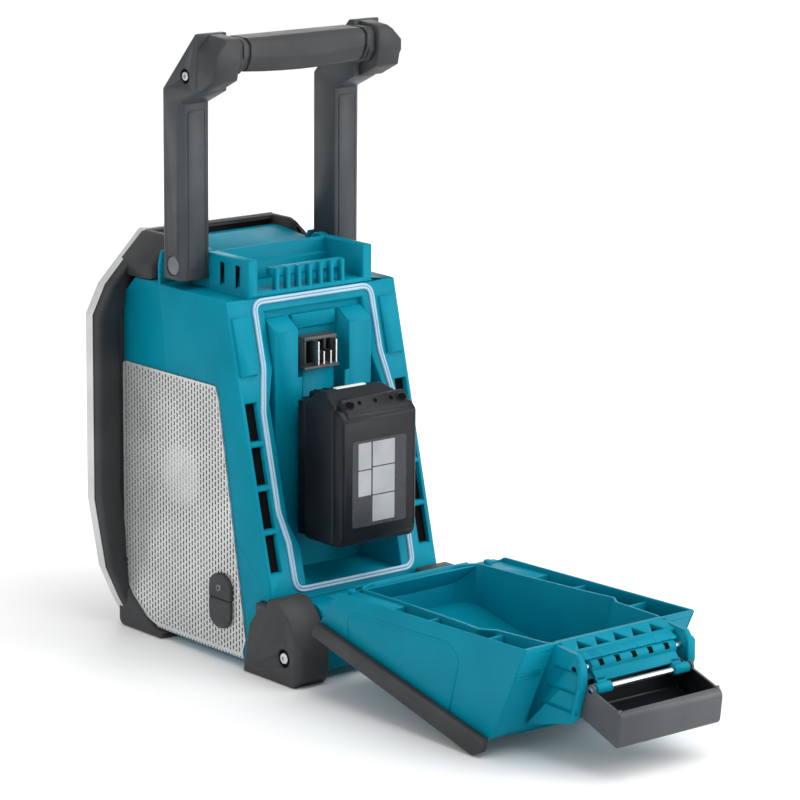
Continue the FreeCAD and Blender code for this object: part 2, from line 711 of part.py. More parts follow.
def make_hinge_pins():
    for word, side in SIDES:
        body = new_piece("hinge_pin_" + word)
        low, high = across(side, d.lug_inner - 1, d.knuckle_outer + 1.5)
        pad(body, "YZ", low, high, ("round", d.hinge_y, d.hinge_z, d.hinge_pin))
        low, high = across(side, d.knuckle_outer + 0.5, d.knuckle_outer + 2.5)
        pad(body, "YZ", low, high, ("round", d.hinge_y, d.hinge_z, d.hinge_pin + 1.5))


def make_pivot_pins():
    for word, side in SIDES:
        body = new_piece("pivot_pin_" + word)
        low, high = across(side, d.trough_inner + 1.5, d.arm_outer - 2.5)
        pad(body, "YZ", low, high, ("round", d.pivot_y, d.pivot_z, d.pivot_radius))
        low, high = across(side, d.arm_outer - 3.5, d.arm_outer - 1)
        pad(body, "YZ", low, high, ("round", d.pivot_y, d.pivot_z, d.pivot_radius + 2.5))


def make_fixed_screws():
    """Screws that show at the rear feet, the port cover and the bay."""
    feet = new_piece("foot_screws")
    for _, side in SIDES:
        low, high = across(side, d.foot_outer, d.foot_outer + 1.2)
        pad(feet, "YZ", low, high, ("round", d.foot_rear - 18, 22, 4.5))
    port = new_piece("port_screw")
    outer = d.body_half + d.port_thick
    pad(port, "YZ", outer, outer + 0.8, ("round", d.port_y, d.port_z + 11, 3))


# Handle

def make_handle():
    rear_low = d.grip_rear - 25
    for word, side in SIDES:
        low, high = across(side, d.arm_inner, d.arm_outer)
        arm = new_piece("handle_arm_" + word)
        pad(arm, "YZ", low, high, [
            (d.arm_front, d.arm_bottom), (0, d.arm_bottom), (0, d.arm_bend),
            (rear_low, d.arm_bend + 11.5), (rear_low, d.grip_top + 2),
            (rear_low - 6, d.grip_top + 3.5), (d.arm_front, d.grip_top - 45)])
        soften(arm, "Chamfer", 6, lambda edge: near_line(
            edge, 2, (side * d.arm_outer, 0)) or near_line(
            edge, 2, (side * d.arm_outer, d.arm_front)))
        cut(arm, "YZ", low - 1, high + 1,
            ("round", d.pivot_y, d.pivot_z, d.pivot_radius + d.fit))
        head = across(side, d.arm_outer - 4, d.arm_outer + 1)
        cut(arm, "YZ", head[0], head[1],
            ("round", d.pivot_y, d.pivot_z, d.pivot_radius + 3))
        cap = new_piece("grip_cap_" + word)
        low, high = across(side, d.arm_inner + 5.5, d.arm_outer + 1.5)
        pad(cap, "YZ", low, high, [
            (rear_low, d.arm_bend + 11.6), (d.grip_rear - 4, d.grip_low),
            (d.grip_rear - 2, d.grip_low + 9), (d.grip_rear, d.grip_low + 12),
            (d.grip_rear, d.grip_top - 3), (d.grip_rear - 4, d.grip_top),
            (rear_low, d.grip_top + 2)])
        soften(cap, "Chamfer", 12, lambda edge: edge_on_cap(edge, side))
    grip = new_piece("handle_grip")
    pad(grip, "YZ", -d.arm_inner, d.arm_inner, [
        (rear_low - 14, d.grip_top - 26), (rear_low - 4, d.grip_low + 1),
        (d.grip_rear - 10, d.grip_low + 3), (d.grip_rear - 3, d.grip_low + 12),
        (d.grip_rear - 3, d.grip_top - 5), (d.grip_rear - 10, d.grip_top - 1),
        (rear_low - 6, d.grip_top - 1), (rear_low - 14, d.grip_top - 8)])
    screws = new_piece("handle_screws")
    for _, side in SIDES:
        low, high = across(side, d.arm_outer, d.arm_outer + 1)
        pad(screws, "YZ", low, high, ("round", rear_low - 18, d.grip_top - 32, 3.5))


def edge_on_cap(edge, side):
    """Top outer edge of a grip cap."""
    if len(edge.Vertexes) != 2:
        return False
    for vertex in edge.Vertexes:
        point = vertex.Point
        if abs(point.x - side * number_of(d.arm_outer + 1.5)) > 0.5:
            return False
        if point.z < number_of(d.grip_top) - 0.5:
            return False
    return True


# Door

def when_closed(distance, height):
    """The open place of a door point that is given by its y and z when the door is shut."""
    return (d.hinge_y + (distance - d.hinge_y) * close_cos + (height - d.hinge_z) * close_sin,
            d.hinge_z - (distance - d.hinge_y) * close_sin + (height - d.hinge_z) * close_cos)


def make_door_tray():
    body = new_piece("door_tray")
    floor = d.pack_rear + 3.3
    outer_near = when_closed(floor + d.tray_wall, d.hinge_z + 14)
    outer_far = when_closed(floor + d.tray_wall, d.hinge_z + 213)
    far_low = (d.door_low_far, outer_far[1] + 7.6)
    far_top = (d.door_far, d.rim_z + d.rim_rise)
    pad(body, "YZ", -d.body_half, d.body_half, [
        outer_near, outer_far, far_low, far_top, (d.door_near, d.rim_z)])
    middle_half = d.foot_inner - 1
    pad(body, "YZ", -middle_half, middle_half, [
        outer_near, (d.door_near + 2, outer_near[1] + 2), (d.door_near + 4, d.rim_z),
        (d.door_mid_near, d.rim_z)])
    # Knuckles and their arms
    for _, side in SIDES:
        low, high = across(side, d.lug_outer + d.seam, d.knuckle_outer)
        pad(body, "YZ", low, high, [
            (d.hinge_y - 1, d.hinge_z - d.knuckle + 0.2), (d.hinge_y + 19, outer_near[1] - 1),
            (d.hinge_y + 22, outer_near[1] + 8), (d.hinge_y - 1, d.hinge_z + d.knuckle - 0.2)])
        pad(body, "YZ", low, high, ("round", d.hinge_y, d.hinge_z, d.knuckle))
    # Latch brackets and the shelf between them
    for _, side in SIDES:
        low, high = across(side, d.bracket_inner, d.bracket_outer)
        pad(body, "YZ", low, high, [
            (d.door_far - 6, d.rim_z + d.rim_rise - 1), (d.latch_y + 3, d.rim_z + d.rim_rise - 4),
            (d.bracket_rear, d.latch_z + 5), (d.bracket_rear, d.latch_z - 12),
            (d.latch_y, d.latch_z - 42), (d.door_low_far + 4, far_low[1] + 5)])
    pad(body, "XY", d.rim_z, d.rim_z + d.rim_rise - 1,
        box_loop(-d.bracket_inner - 1, d.door_far - 8, d.bracket_inner + 1, d.latch_y - 6.5))
    triangles = []
    for number in range(5):
        middle = (number - 2) * d.link_half * 0.44
        triangles.append([(middle - 7, d.door_far + 1), (middle + 7, d.door_far + 1),
                          (middle, d.latch_y - 9)])
    cut(body, "XY", d.rim_z - 1, d.rim_z + d.rim_rise, *triangles)
    # The cavity that closes over the battery, wider beside the pack
    near_low = when_closed(floor, d.hinge_z + 22)
    far_in = when_closed(floor, d.hinge_z + 208)
    cut(body, "YZ", -d.cavity_half, d.cavity_half, [
        near_low, far_in, (d.door_low_far - 2, far_low[1] + 6),
        (d.door_far - 6, d.rim_z + 10), (d.door_mid_near + 5, d.rim_z + 10)])
    cut(body, "YZ", -d.cavity_half - 6, d.cavity_half + 6, [
        (235, d.rim_z + 10), (235, 54), (338, 54), (338, d.rim_z + 10)])
    # Recesses that close over the raised pads of the shell
    for _, side in SIDES:
        low, high = across(side, d.cell_inner - 6, d.body_half + 1)
        recess = []
        for lift, height in ((-6, 231), (-6, 285), (d.pad_lift + 1.5, 285), (d.pad_lift + 1.5, 231)):
            recess.append(when_closed(back_y(height) + lift, height))
        cut(body, "YZ", low, high, recess)
    # Side pockets under the flange
    for _, side in SIDES:
        edges = across(side, d.cavity_half + 11, d.body_half - d.tray_wall)
        pockets = [box_loop(edges[0], y, edges[1], y + 46) for y in (205, 257, 309)]
        cut(body, "XY", d.rim_z - 26, d.rim_z + 10, *pockets)
    # Bores of the hinge and of the latch pin
    cut(body, "YZ", -d.knuckle_outer, d.knuckle_outer,
        ("round", d.hinge_y, d.hinge_z, d.hinge_pin + d.fit))
    cut(body, "YZ", -d.bracket_outer, d.bracket_outer, ("round", d.latch_y, d.latch_z, d.hinge_pin))


def make_bumpers():
    floor = d.pack_rear + 3.3 + d.tray_wall
    for word, side in SIDES:
        body = new_piece("bumper_" + word)
        near = when_closed(floor, d.hinge_z + 18)
        far = when_closed(floor, d.hinge_z + 212)
        near_out = when_closed(floor + 5, d.hinge_z + 15)
        far_out = (when_closed(d.hinge_y + 3.5, d.hinge_z + 212)[0], 0)
        near_up = when_closed(floor - d.bumper_lap, d.hinge_z + 18)
        far_up = when_closed(floor - d.bumper_lap, d.hinge_z + 222)
        low, high = across(side, d.body_half, d.body_half + d.bumper_out)
        pad(body, "YZ", low, high, [near_out, far_out, (far_out[0] + 11, far_out[1] + 5),
                                    far_up, near_up])
        low, high = across(side, d.body_half - 8, d.body_half + 1)
        pad(body, "YZ", low, high, [near_out, far_out, far, near])


def make_latch():
    pin = new_piece("latch_pin")
    pad(pin, "YZ", -d.bracket_outer, d.bracket_outer,
        ("round", d.latch_y, d.latch_z, d.hinge_pin))
    link = new_piece("latch_link")
    pad(link, "YZ", -d.link_half, d.link_half, ("round", d.latch_y, d.latch_z, 5))
    across_link = 2.2
    pad(link, "YZ", -d.link_half, d.link_half, [
        (d.latch_y - 1.7, d.latch_z - 1.4), (d.lever_pin_y - 1.7, d.lever_pin_z - 1.4),
        (d.lever_pin_y + 1.7, d.lever_pin_z + 1.4), (d.latch_y + 1.7, d.latch_z + 1.4)])
    cut(link, "YZ", -20, 20, ("round", d.lever_pin_y, d.lever_pin_z, 6))
    for _, side in SIDES:
        low, high = across(side, 20, d.link_half + 4)
        pad(link, "YZ", low, high, ("round", d.lever_pin_y, d.lever_pin_z, 4.3))
    cut(link, "YZ", -d.bracket_inner, d.bracket_inner,
        ("round", d.latch_y, d.latch_z, d.hinge_pin + d.fit))
    cut(link, "YZ", -d.bracket_inner, d.bracket_inner,
        ("round", d.lever_pin_y, d.lever_pin_z, d.hinge_pin + d.fit))
    lever = new_piece("latch_lever")
    near_top = (d.lever_pin_y - d.lever_near, d.lever_pin_z + 4.6)
    near_low = (d.lever_pin_y - d.lever_near - 2.2, d.lever_pin_z + 6 - d.lever_depth)
    far_low = (lever_far - 3, d.lever_pin_z - 12 - d.lever_depth)
    far_top = (lever_far, d.lever_pin_z - 11.2)
    pad(lever, "YZ", -d.lever_half, d.lever_half, [near_top, near_low, far_low, far_top])
    soften(lever, "Fillet", 6, lambda edge: near_line(edge, 0, far_low))
    w = d.lever_wall
    inner = d.lever_half - w
    cut(lever, "YZ", -inner, inner, [
        (near_top[0] + w, near_top[1] + 4), (near_low[0] + w, near_low[1] + w * 0.7),
        (far_low[0] - w * 1.6, far_low[1] + w * 1.3), (far_top[0] - w * 1.1, far_top[1] + 4)])
    for _, side in SIDES:
        low, high = across(side, inner - 0.1, d.lever_half)
        pad(lever, "YZ", low, high, ("round", d.lever_pin_y, d.lever_pin_z, 4.3))
    cut(lever, "YZ", -d.lever_half, d.lever_half,
        ("round", d.lever_pin_y, d.lever_pin_z, d.hinge_pin))
    lever_pin = new_piece("lever_pin")
    pad(lever_pin, "YZ", -d.lever_half, d.lever_half,
        ("round", d.lever_pin_y, d.lever_pin_z, d.hinge_pin))


# Battery pack

def make_battery():
    top = d.pack_bottom + d.pack_long
    w = d.pack_wall
    inner = d.pack_half - w
    case = new_piece("battery_case")
    pad(case, "YZ", -d.pack_half, d.pack_half, [
        (d.pack_front, d.pack_bottom + 4), (d.pack_front + 4, d.pack_bottom),
        (d.pack_split, d.pack_bottom), (d.pack_split, top),
        (d.pack_split - 13, top + 0.65 * d.shoulder), (d.pack_split - 23, top + d.shoulder),
        (d.pack_front, top + d.shoulder)])
    cut(case, "YZ", -inner, inner,
        box_loop(d.pack_front + 7, d.pack_bottom + w + 8, d.pack_split + 1, top - w))
    pad(case, "XY", d.pack_bottom + 4, top - 2,
        box_loop(-d.neck_half, d.flange_front + 1, d.neck_half, d.pack_front + 1))
    pad(case, "XY", d.pack_bottom + 4, top - 2,
        box_loop(-d.flange_half, d.flange_front, d.flange_half, d.flange_front + d.flange_thick))
    # Pocket for the release button in the bottom end
    half = d.release_half + d.button_gap
    cut(case, "XY", d.pack_bottom - 1, d.pack_bottom + 7,
        box_loop(-half, d.pack_front + 6, half, d.pack_front + 18))
    cover = new_piece("battery_cover")
    pad(cover, "YZ", -d.pack_half, d.pack_half, [
        (d.pack_split, d.pack_bottom), (d.pack_rear - 6, d.pack_bottom),
        (d.pack_rear, d.pack_bottom + 6), (d.pack_rear, top - 6), (d.pack_rear - 6, top),
        (d.pack_split, top)])
    cut(cover, "YZ", -inner, inner, box_loop(
        d.pack_split - 1, d.pack_bottom + w + 8, d.pack_rear - w, top - w))
    connector = new_piece("battery_connector")
    pad(connector, "XZ", d.flange_front + 0.4, d.pack_front,
        box_loop(-20, top - 1.7, 20, top + d.shoulder))
    slots = []
    for x, tall in blade_places():
        slots.append(box_loop(x - d.blade_thick / 2 - 0.8, top - 2.7,
                              x + d.blade_thick / 2 + 0.8, top + d.shoulder + 1))
    cut(connector, "XZ", d.flange_front - 1, d.flange_front + 12, *slots)
    cells = new_piece("battery_cells")
    loops = []
    for row in range(2):
        for number in range(5):
            y = d.pack_front + 17.4 + row * 20.5
            z = d.pack_bottom + 20.6 + number * 19.9
            loops.append(("round", y, z, d.cell_radius))
    pad(cells, "YZ", -d.cell_long / 2, d.cell_long / 2, *loops)
    for x in (-28.0, 26.0):
        ties = [box_loop(d.pack_front + 17, d.pack_bottom + 20, d.pack_front + 38,
                         d.pack_bottom + 101)]
        pad(cells, "YZ", x, x + 2, *ties)
    button = new_piece("battery_button")
    pad(button, "XY", d.pack_bottom - d.release_out, d.pack_bottom + 3,
        box_loop(-d.release_half, d.pack_front + 6.4, d.release_half, d.pack_front + 17.6))


make_rear_housing()
make_seal()
make_front_frame()
make_front_ring()
make_front_grille()
make_baffle()
make_control_panel()
make_display()
make_knob()
make_buttons()
make_woofer()
make_side_speakers()
make_side_grilles()
make_port()
make_circuit_board()
make_terminals()
make_rear_feet()
make_hinge_pins()
make_pivot_pins()
make_fixed_screws()
make_handle()
make_door_tray()
make_bumpers()
make_latch()
make_battery()

doc.recompute()
for thing in doc.Objects:
    if "Invalid" in thing.State or "Error" in thing.State:
        raise RuntimeError("%s did not build: %s" % (thing.Label, thing.State))
for thing in doc.Objects:
    if thing.TypeId == "PartDesign::Pocket":
        if thing.Shape.Volume > thing.BaseFeature.Shape.Volume - 0.5:
            raise RuntimeError("%s cuts nothing" % thing.Label)
for piece in PIECES:
    if piece.Shape.isNull() or not piece.Shape.isValid():
        raise RuntimeError("%s has no sound shape" % piece.Label)

os.makedirs("parts", exist_ok=True)
for piece in PIECES:
    piece.Shape.exportStep("parts/%s.step" % piece.Label)
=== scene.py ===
import json
import math
import bmesh
import bpy
from mathutils import Matrix, Vector


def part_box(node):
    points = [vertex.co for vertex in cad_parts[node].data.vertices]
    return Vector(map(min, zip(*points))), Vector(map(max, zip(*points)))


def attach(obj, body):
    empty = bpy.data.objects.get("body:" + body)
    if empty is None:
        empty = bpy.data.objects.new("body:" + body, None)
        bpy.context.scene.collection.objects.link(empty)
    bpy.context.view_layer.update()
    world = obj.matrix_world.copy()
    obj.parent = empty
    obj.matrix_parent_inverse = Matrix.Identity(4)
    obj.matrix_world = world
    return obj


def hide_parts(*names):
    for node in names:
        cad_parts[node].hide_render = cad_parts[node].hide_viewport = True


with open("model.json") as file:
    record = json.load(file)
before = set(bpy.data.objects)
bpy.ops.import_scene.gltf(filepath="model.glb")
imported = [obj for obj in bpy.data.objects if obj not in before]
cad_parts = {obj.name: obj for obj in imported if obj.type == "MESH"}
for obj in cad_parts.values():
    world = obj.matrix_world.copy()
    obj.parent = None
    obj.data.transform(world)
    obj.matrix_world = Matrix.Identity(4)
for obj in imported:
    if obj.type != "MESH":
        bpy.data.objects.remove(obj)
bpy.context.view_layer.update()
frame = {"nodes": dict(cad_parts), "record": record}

# Camera and studio
# The photograph looks down on the radio's back and right side with a long lens.
# Places are in millimetres, and y is counted from the rear face of the handle's arms.
MM = 0.001
ARM_TOP_REACH = 0.024
ARM_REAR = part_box("handle_arm_right")[1][1] - ARM_TOP_REACH
CAMERA_PLACE = (1859.6, 2387.8, 882.9)
CAMERA_AZIMUTH, CAMERA_ELEVATION, CAMERA_ROLL = 140.12, 12.82, 0.44
LENS_LENGTH, FILM_WIDTH, VIEW_DISTANCE = 171, 36, 90
SUN_STRENGTH, SUN_WIDTH, SUN_WAY = 1.95, 60, (0.25, -0.5, -1.0)
SKY_STRENGTH = 0.55
FLOOR_HALF, FLOOR_DROP, FLOOR_WHITE = 40, 0.0004, 0.94


def at(x, y, z):
    """A point given in millimetres from the arms' rear face, in the frame's metres."""
    return Vector((x * MM, y * MM + ARM_REAR, z * MM))


def in_scene(thing):
    bpy.context.scene.collection.objects.link(thing)
    return thing


def add_camera(place, azimuth, elevation, roll):
    turn, tilt, lean = math.radians(azimuth), math.radians(elevation), math.radians(roll)
    back = Vector((math.sin(turn) * math.cos(tilt), -math.cos(turn) * math.cos(tilt),
                   math.sin(tilt)))
    right = Vector((0, 0, 1)).cross(back).normalized()
    up = back.cross(right)
    across = right * math.cos(lean) + up * math.sin(lean)
    upward = up * math.cos(lean) - right * math.sin(lean)
    data = bpy.data.cameras.new("camera")
    data.lens = LENS_LENGTH
    data.sensor_width = FILM_WIDTH
    data.clip_end = VIEW_DISTANCE
    camera = in_scene(bpy.data.objects.new("camera", data))
    turned_about = Matrix((across, upward, back)).transposed().to_4x4()
    camera.matrix_world = Matrix.Translation(place) @ turned_about
    bpy.context.scene.camera = camera


def add_lamp(name, place, aim, size, power):
    """A soft rectangular lamp at a place in metres, turned to its aim."""
    data = bpy.data.lights.new(name, "AREA")
    data.shape = "RECTANGLE"
    data.size, data.size_y = size
    data.energy = power
    lamp = in_scene(bpy.data.objects.new(name, data))
    lamp.location = place
    lamp.rotation_euler = (Vector(aim) - Vector(place)).to_track_quat("-Z", "Y").to_euler()


def new_material(name, colour, roughness, metal=0.0):
    """A node material with its plain shader set up."""
    material = bpy.data.materials.new(name)
    material.use_nodes = True
    shader = material.node_tree.nodes["Principled BSDF"]
    shader.inputs["Base Color"].default_value = (*colour, 1)
    shader.inputs["Roughness"].default_value = roughness
    shader.inputs["Metallic"].default_value = metal
    return material, shader


add_camera(at(*CAMERA_PLACE), CAMERA_AZIMUTH, CAMERA_ELEVATION, CAMERA_ROLL)
add_lamp("back_lamp", (-1.5, 1.9, 0.8), (0, 0, 0.2), (1.3, 1.1), 26)
add_lamp("side_lamp", (2.3, 0.1, 1.0), (0, -0.1, 0.2), (0.9, 1.6), 11)
add_lamp("front_lamp", (-1.4, -2.0, 1.3), (0, -0.2, 0.2), (1.2, 1.2), 12)
overhead = bpy.data.lights.new("overhead", "SUN")
overhead.energy = SUN_STRENGTH
overhead.angle = math.radians(SUN_WIDTH)
sun = in_scene(bpy.data.objects.new("overhead", overhead))
sun.rotation_euler = Vector(SUN_WAY).to_track_quat("-Z", "Y").to_euler()
sky = bpy.data.worlds.new("studio")
sky.use_nodes = True
background = sky.node_tree.nodes["Background"]
background.inputs["Color"].default_value = (1, 1, 1, 1)
background.inputs["Strength"].default_value = SKY_STRENGTH
bpy.context.scene.world = sky
sheet = bpy.data.meshes.new("floor")
sheet.from_pydata([(-FLOOR_HALF, -FLOOR_HALF, 0), (FLOOR_HALF, -FLOOR_HALF, 0),
                   (FLOOR_HALF, FLOOR_HALF, 0), (-FLOOR_HALF, FLOOR_HALF, 0)], [], [(0, 1, 2, 3)])
sheet.materials.append(new_material("pale_floor", (FLOOR_WHITE,) * 3, 0.8)[0])
floor = in_scene(bpy.data.objects.new("floor", sheet))
floor.location.z = -FLOOR_DROP
bpy.context.scene.view_settings.view_transform = "Standard"


# Shell
# The teal shell is one injection moulding with rounded edges and a fine matt
# grain. It holds the speakers, and its sloping back has the battery's bay.
SHARP_EDGE, BEVEL_EDGE = 38, 28
MOTTLING, GLOSS_PATCHES, GRAIN_DETAIL, GRAIN_STRENGTH = (22, 4), (60, 5), 2, 0.6
MOTTLE_ENDS, GLOSS_ENDS, GLOSS_LESS, GLOSS_MORE = (0.35, 0.65), (0.3, 0.7), 0.05, 0.07
FLAT_ENOUGH, STRAIGHT_ENOUGH, WELD_REACH, SURFACE_LOSS = 0.99998, -0.99999, 0.00001, 1e-4


def add_node(tree, kind, inputs=None, **settings):
    """Adds a node with its settings, and gives its inputs values or links from other nodes."""
    node = tree.nodes.new(kind)
    for word, value in settings.items():
        setattr(node, word, value)
    for word, value in (inputs or {}).items():
        if isinstance(value, bpy.types.NodeSocket):
            tree.links.new(value, node.inputs[word])
        else:
            node.inputs[word].default_value = value
    return node


def noise(tree, scale, detail):
    """Noise on the piece's own place, in cycles per metre."""
    place = add_node(tree, "ShaderNodeTexCoord").outputs["Object"]
    return add_node(tree, "ShaderNodeTexNoise", {
        "Scale": scale, "Detail": detail, "Vector": place}).outputs["Fac"]


def moulded(name, low, high, roughness, grain=2600, depth=0.00006, shine=0.35, metal=0.0):
    """A moulded or painted finish: faint mottling, uneven gloss and a fine grain."""
    material, shader = new_material(name, low, roughness, metal)
    shader.inputs["Specular IOR Level"].default_value = shine
    tree = material.node_tree
    ramp = add_node(tree, "ShaderNodeValToRGB", {"Fac": noise(tree, *MOTTLING)})
    for element, place, colour in zip(ramp.color_ramp.elements, MOTTLE_ENDS, (low, high)):
        element.position = place
        element.color = (*colour, 1)
    gloss = add_node(tree, "ShaderNodeMapRange", {
        "From Min": GLOSS_ENDS[0], "From Max": GLOSS_ENDS[1], "To Min": roughness - GLOSS_LESS,
        "To Max": roughness + GLOSS_MORE, "Value": noise(tree, *GLOSS_PATCHES)})
    fine = add_node(tree, "ShaderNodeBump", {
        "Distance": depth, "Strength": GRAIN_STRENGTH,
        "Height": noise(tree, grain, GRAIN_DETAIL)})
    for word, output in (("Base Color", ramp.outputs["Color"]),
                         ("Roughness", gloss.outputs["Result"]),
                         ("Normal", fine.outputs["Normal"])):
        tree.links.new(output, shader.inputs[word])
    return material


def as_piece(name, mesh, body, material, slot, *nodes):
    """Puts a finished mesh in the scene, on its body, in place of the nodes it stands for."""
    mesh.name = name
    mesh.materials.clear()
    mesh.materials.append(material)
    piece = in_scene(bpy.data.objects.new(name, mesh))
    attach(piece, body)
    if nodes:
        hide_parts(*nodes)
    return piece


def flat_faces(work):
    """The groups of triangles that make up each flat face, as long as it has no hole in it."""
    seen, flats = set(), []
    for first in work.faces:
        if first in seen:
            continue
        seen.add(first)
        flat, waiting = [first], [first]
        while waiting:
            for edge in waiting.pop().edges:
                for other in edge.link_faces:
                    if other not in seen and other.normal.dot(first.normal) > FLAT_ENOUGH:
                        seen.add(other)
                        flat.append(other)
                        waiting.append(other)
        edges = {edge for face in flat for edge in face.edges}
        corners = {corner for face in flat for corner in face.verts}
        if len(flat) > 1 and len(corners) - len(edges) + len(flat) == 1:
            flats.append(flat)
    return flats


def join_flats(work):
    """Joins the triangles of flat faces, and drops corners that lie on a straight edge."""
    for flat in flat_faces(work):
        bmesh.ops.dissolve_faces(work, faces=flat)
    spare = []
    for corner in work.verts:
        if len(corner.link_edges) == 2:
            ways = [(edge.other_vert(corner).co - corner.co).normalized()
                    for edge in corner.link_edges]
            if ways[0].dot(ways[1]) < STRAIGHT_ENOUGH:
                spare.append(corner)
    bmesh.ops.dissolve_verts(work, verts=spare)


def merged_copy(node):
    work = bmesh.new()
    work.from_mesh(frame["nodes"][node].data)
    bmesh.ops.remove_doubles(work, verts=work.verts, dist=WELD_REACH)
    return work


def surface_of(work):
    return sum(face.calc_area() for face in work.faces)


def copied(node):
    """A copy of a node's solid with its flat faces joined, unless that spoils its surface."""
    work = merged_copy(node)
    whole = surface_of(work)
    join_flats(work)
    if abs(surface_of(work) - whole) > whole * SURFACE_LOSS:
        work.free()
        work = merged_copy(node)
    return work


def to_mesh(work):
    mesh = bpy.data.meshes.new("mesh")
    work.to_mesh(mesh)
    work.free()
    return mesh


def evaluated(thing):
    """The plain mesh of an object with its modifiers carried out."""
    depsgraph = bpy.context.evaluated_depsgraph_get()
    return bpy.data.meshes.new_from_object(thing.evaluated_get(depsgraph))


def worked(mesh, kind, **settings):
    """Carries out one modifier on a mesh and returns the result as a plain mesh."""
    stand_in = in_scene(bpy.data.objects.new("stand_in", mesh))
    modifier = stand_in.modifiers.new("work", kind)
    for word, value in settings.items():
        setattr(modifier, word, value)
    finished = evaluated(stand_in)
    bpy.data.objects.remove(stand_in)
    return finished


def smoothed(mesh, angle=SHARP_EDGE):
    """Shades a mesh smooth, but for edges sharper than an angle in degrees."""
    mesh.shade_smooth()
    mesh.set_sharp_from_angle(angle=math.radians(angle))
    return mesh


def bevelled(mesh, width, segments=2, angle=BEVEL_EDGE):
    """Rounds a mesh's sharp edges by a width in millimetres and shades it smooth."""
    return smoothed(worked(
        mesh, "BEVEL", width=width * MM, segments=segments, limit_method="ANGLE",
        angle_limit=math.radians(angle), use_clamp_overlap=False, harden_normals=True))


def rounded(node, width, segments=2):
    return bevelled(to_mesh(copied(node)), width, segments)


teal = moulded("teal_plastic", (0.0, 0.203, 0.292), (0.0, 0.230, 0.328), 0.42, shine=0.08)
as_piece("shell", rounded("rear_housing", 1.1), "radio", teal, "teal", "rear_housing")


# Shell fittings
# Bars moulded on with the shell: one behind the catch's teeth, a deck that slopes up
# to the front frame, and two ledges at the bay's head. Thin dark plates on the
# trough's ends are the painted shade of its tapered slots.
SIDES = (("right", 1), ("left", -1))
TROUGH_END, SLOT_SHADOW = 62.6, 63.0


def add_skin(work, rings, looped=False):
    """Adds a skin over rings of points in the frame's metres, closed by ends or into a loop."""
    rows = [[work.verts.new(point) for point in ring] for ring in rings]
    count = len(rows[0])
    faces = []
    for here in range(len(rows) if looped else len(rows) - 1):
        first, second = rows[here], rows[(here + 1) % len(rows)]
        for step in range(count):
            after = (step + 1) % count
            faces.append(work.faces.new((first[step], first[after], second[after], second[step])))
    if not looped:
        faces += [work.faces.new(rows[0]), work.faces.new(rows[-1])]
    bmesh.ops.recalc_face_normals(work, faces=faces)


def add_bar(work, axis, low, high, outline):
    """Adds a straight bar of one outline, in millimetres, to a mesh being made."""
    rings = []
    for level in (low, high):
        ring = []
        for u, v in outline:
            place = {"x": (level, u, v), "y": (u, level, v), "z": (u, v, level)}[axis]
            ring.append(work.verts.new(at(*place)))
        rings.append(ring)
    faces = [work.faces.new(rings[0]), work.faces.new(rings[1])]
    for here in range(len(outline)):
        after = (here + 1) % len(outline)
        faces.append(work.faces.new(
            (rings[0][here], rings[0][after], rings[1][after], rings[1][here])))
    bmesh.ops.recalc_face_normals(work, faces=faces)


def skin(rings, looped=False):
    work = bmesh.new()
    add_skin(work, rings, looped)
    return to_mesh(work)


def bars(*parts):
    """A mesh of straight bars, each given as its axis, its two ends and its outline."""
    work = bmesh.new()
    for part in parts:
        add_bar(work, *part)
    return to_mesh(work)


# A near-black matt finish: painted shade for the slots, holes, pockets and screw wells it is laid
# in.
recess_shade = moulded("dark_recess", (0.003, 0.003, 0.004), (0.005, 0.005, 0.006), 0.8, shine=0.05)
fittings = bars(
    ("x", -36.6, 36.6, [
        (37.8, 307.5), (37.8, 313.2), (39.4, 314.7), (46, 314.7), (46, 307.5)]),
    ("x", -58, 58, [(41.0, 286.6), (52.3, 286.6), (52.7, 285.2), (41.0, 284.4)]),
    ("x", -22, 22, [(49, 276), (53.5, 276), (53.5, 265), (49, 262)]),
    ("x", -61.2, 61.2, [
        (4, 297), (4, 311), (-34, 318.6), (-66, 322.4), (-77.6, 322.4), (-77.6, 297)]))
as_piece("shell_bars", bevelled(fittings, 0.8), "radio", teal, "teal")
as_piece("trough_slots", bars(*(
    ("x", side * TROUGH_END, side * SLOT_SHADOW, [
        (y, 300), (y + 1.6, 299), (y + 4.4, 312), (y + 4.4, 318), (y, 318)])
    for _, side in SIDES for y in (13, 33))), "radio", recess_shade, "dark")


# Seal
# A soft pale blue-grey rubber lip pressed in a groove round the battery bay. It is
# one extrusion with two round lips, and the narrow valley between them is a darker
# copy of the rubber, painted shade.
BACK_LOW, BACK_HIGH = (108.5, 62.0), (50.5, 293.7)
BACK_SLOPE = (BACK_LOW[0] - BACK_HIGH[0]) / (BACK_HIGH[1] - BACK_LOW[1])
LEAST_RADIUS, OPEN_ANGLE, MOST_REACH = 0.01, 1.55, 0.49
LIP_OFFSET, LIP_LIFT, LIP_ACROSS, LIP_TALL, LIP_STEPS = 1.2, 0.5, 1.25, 1.5, 8
VALLEY_LIFT, VALLEY_ACROSS, VALLEY_TALL, VALLEY_STEPS = 0.2, 0.55, 1.15, 4


def back_y(z):
    """How far back the shell's sloping back lies at a height."""
    return BACK_HIGH[0] + (BACK_HIGH[1] - z) * BACK_SLOPE


def on_back(x, z, lift=0.0):
    """A point on the shell's sloping back, lifted off it."""
    lean = math.hypot(1, BACK_SLOPE)
    return at(x, back_y(z) + lift / lean, z + lift * BACK_SLOPE / lean)


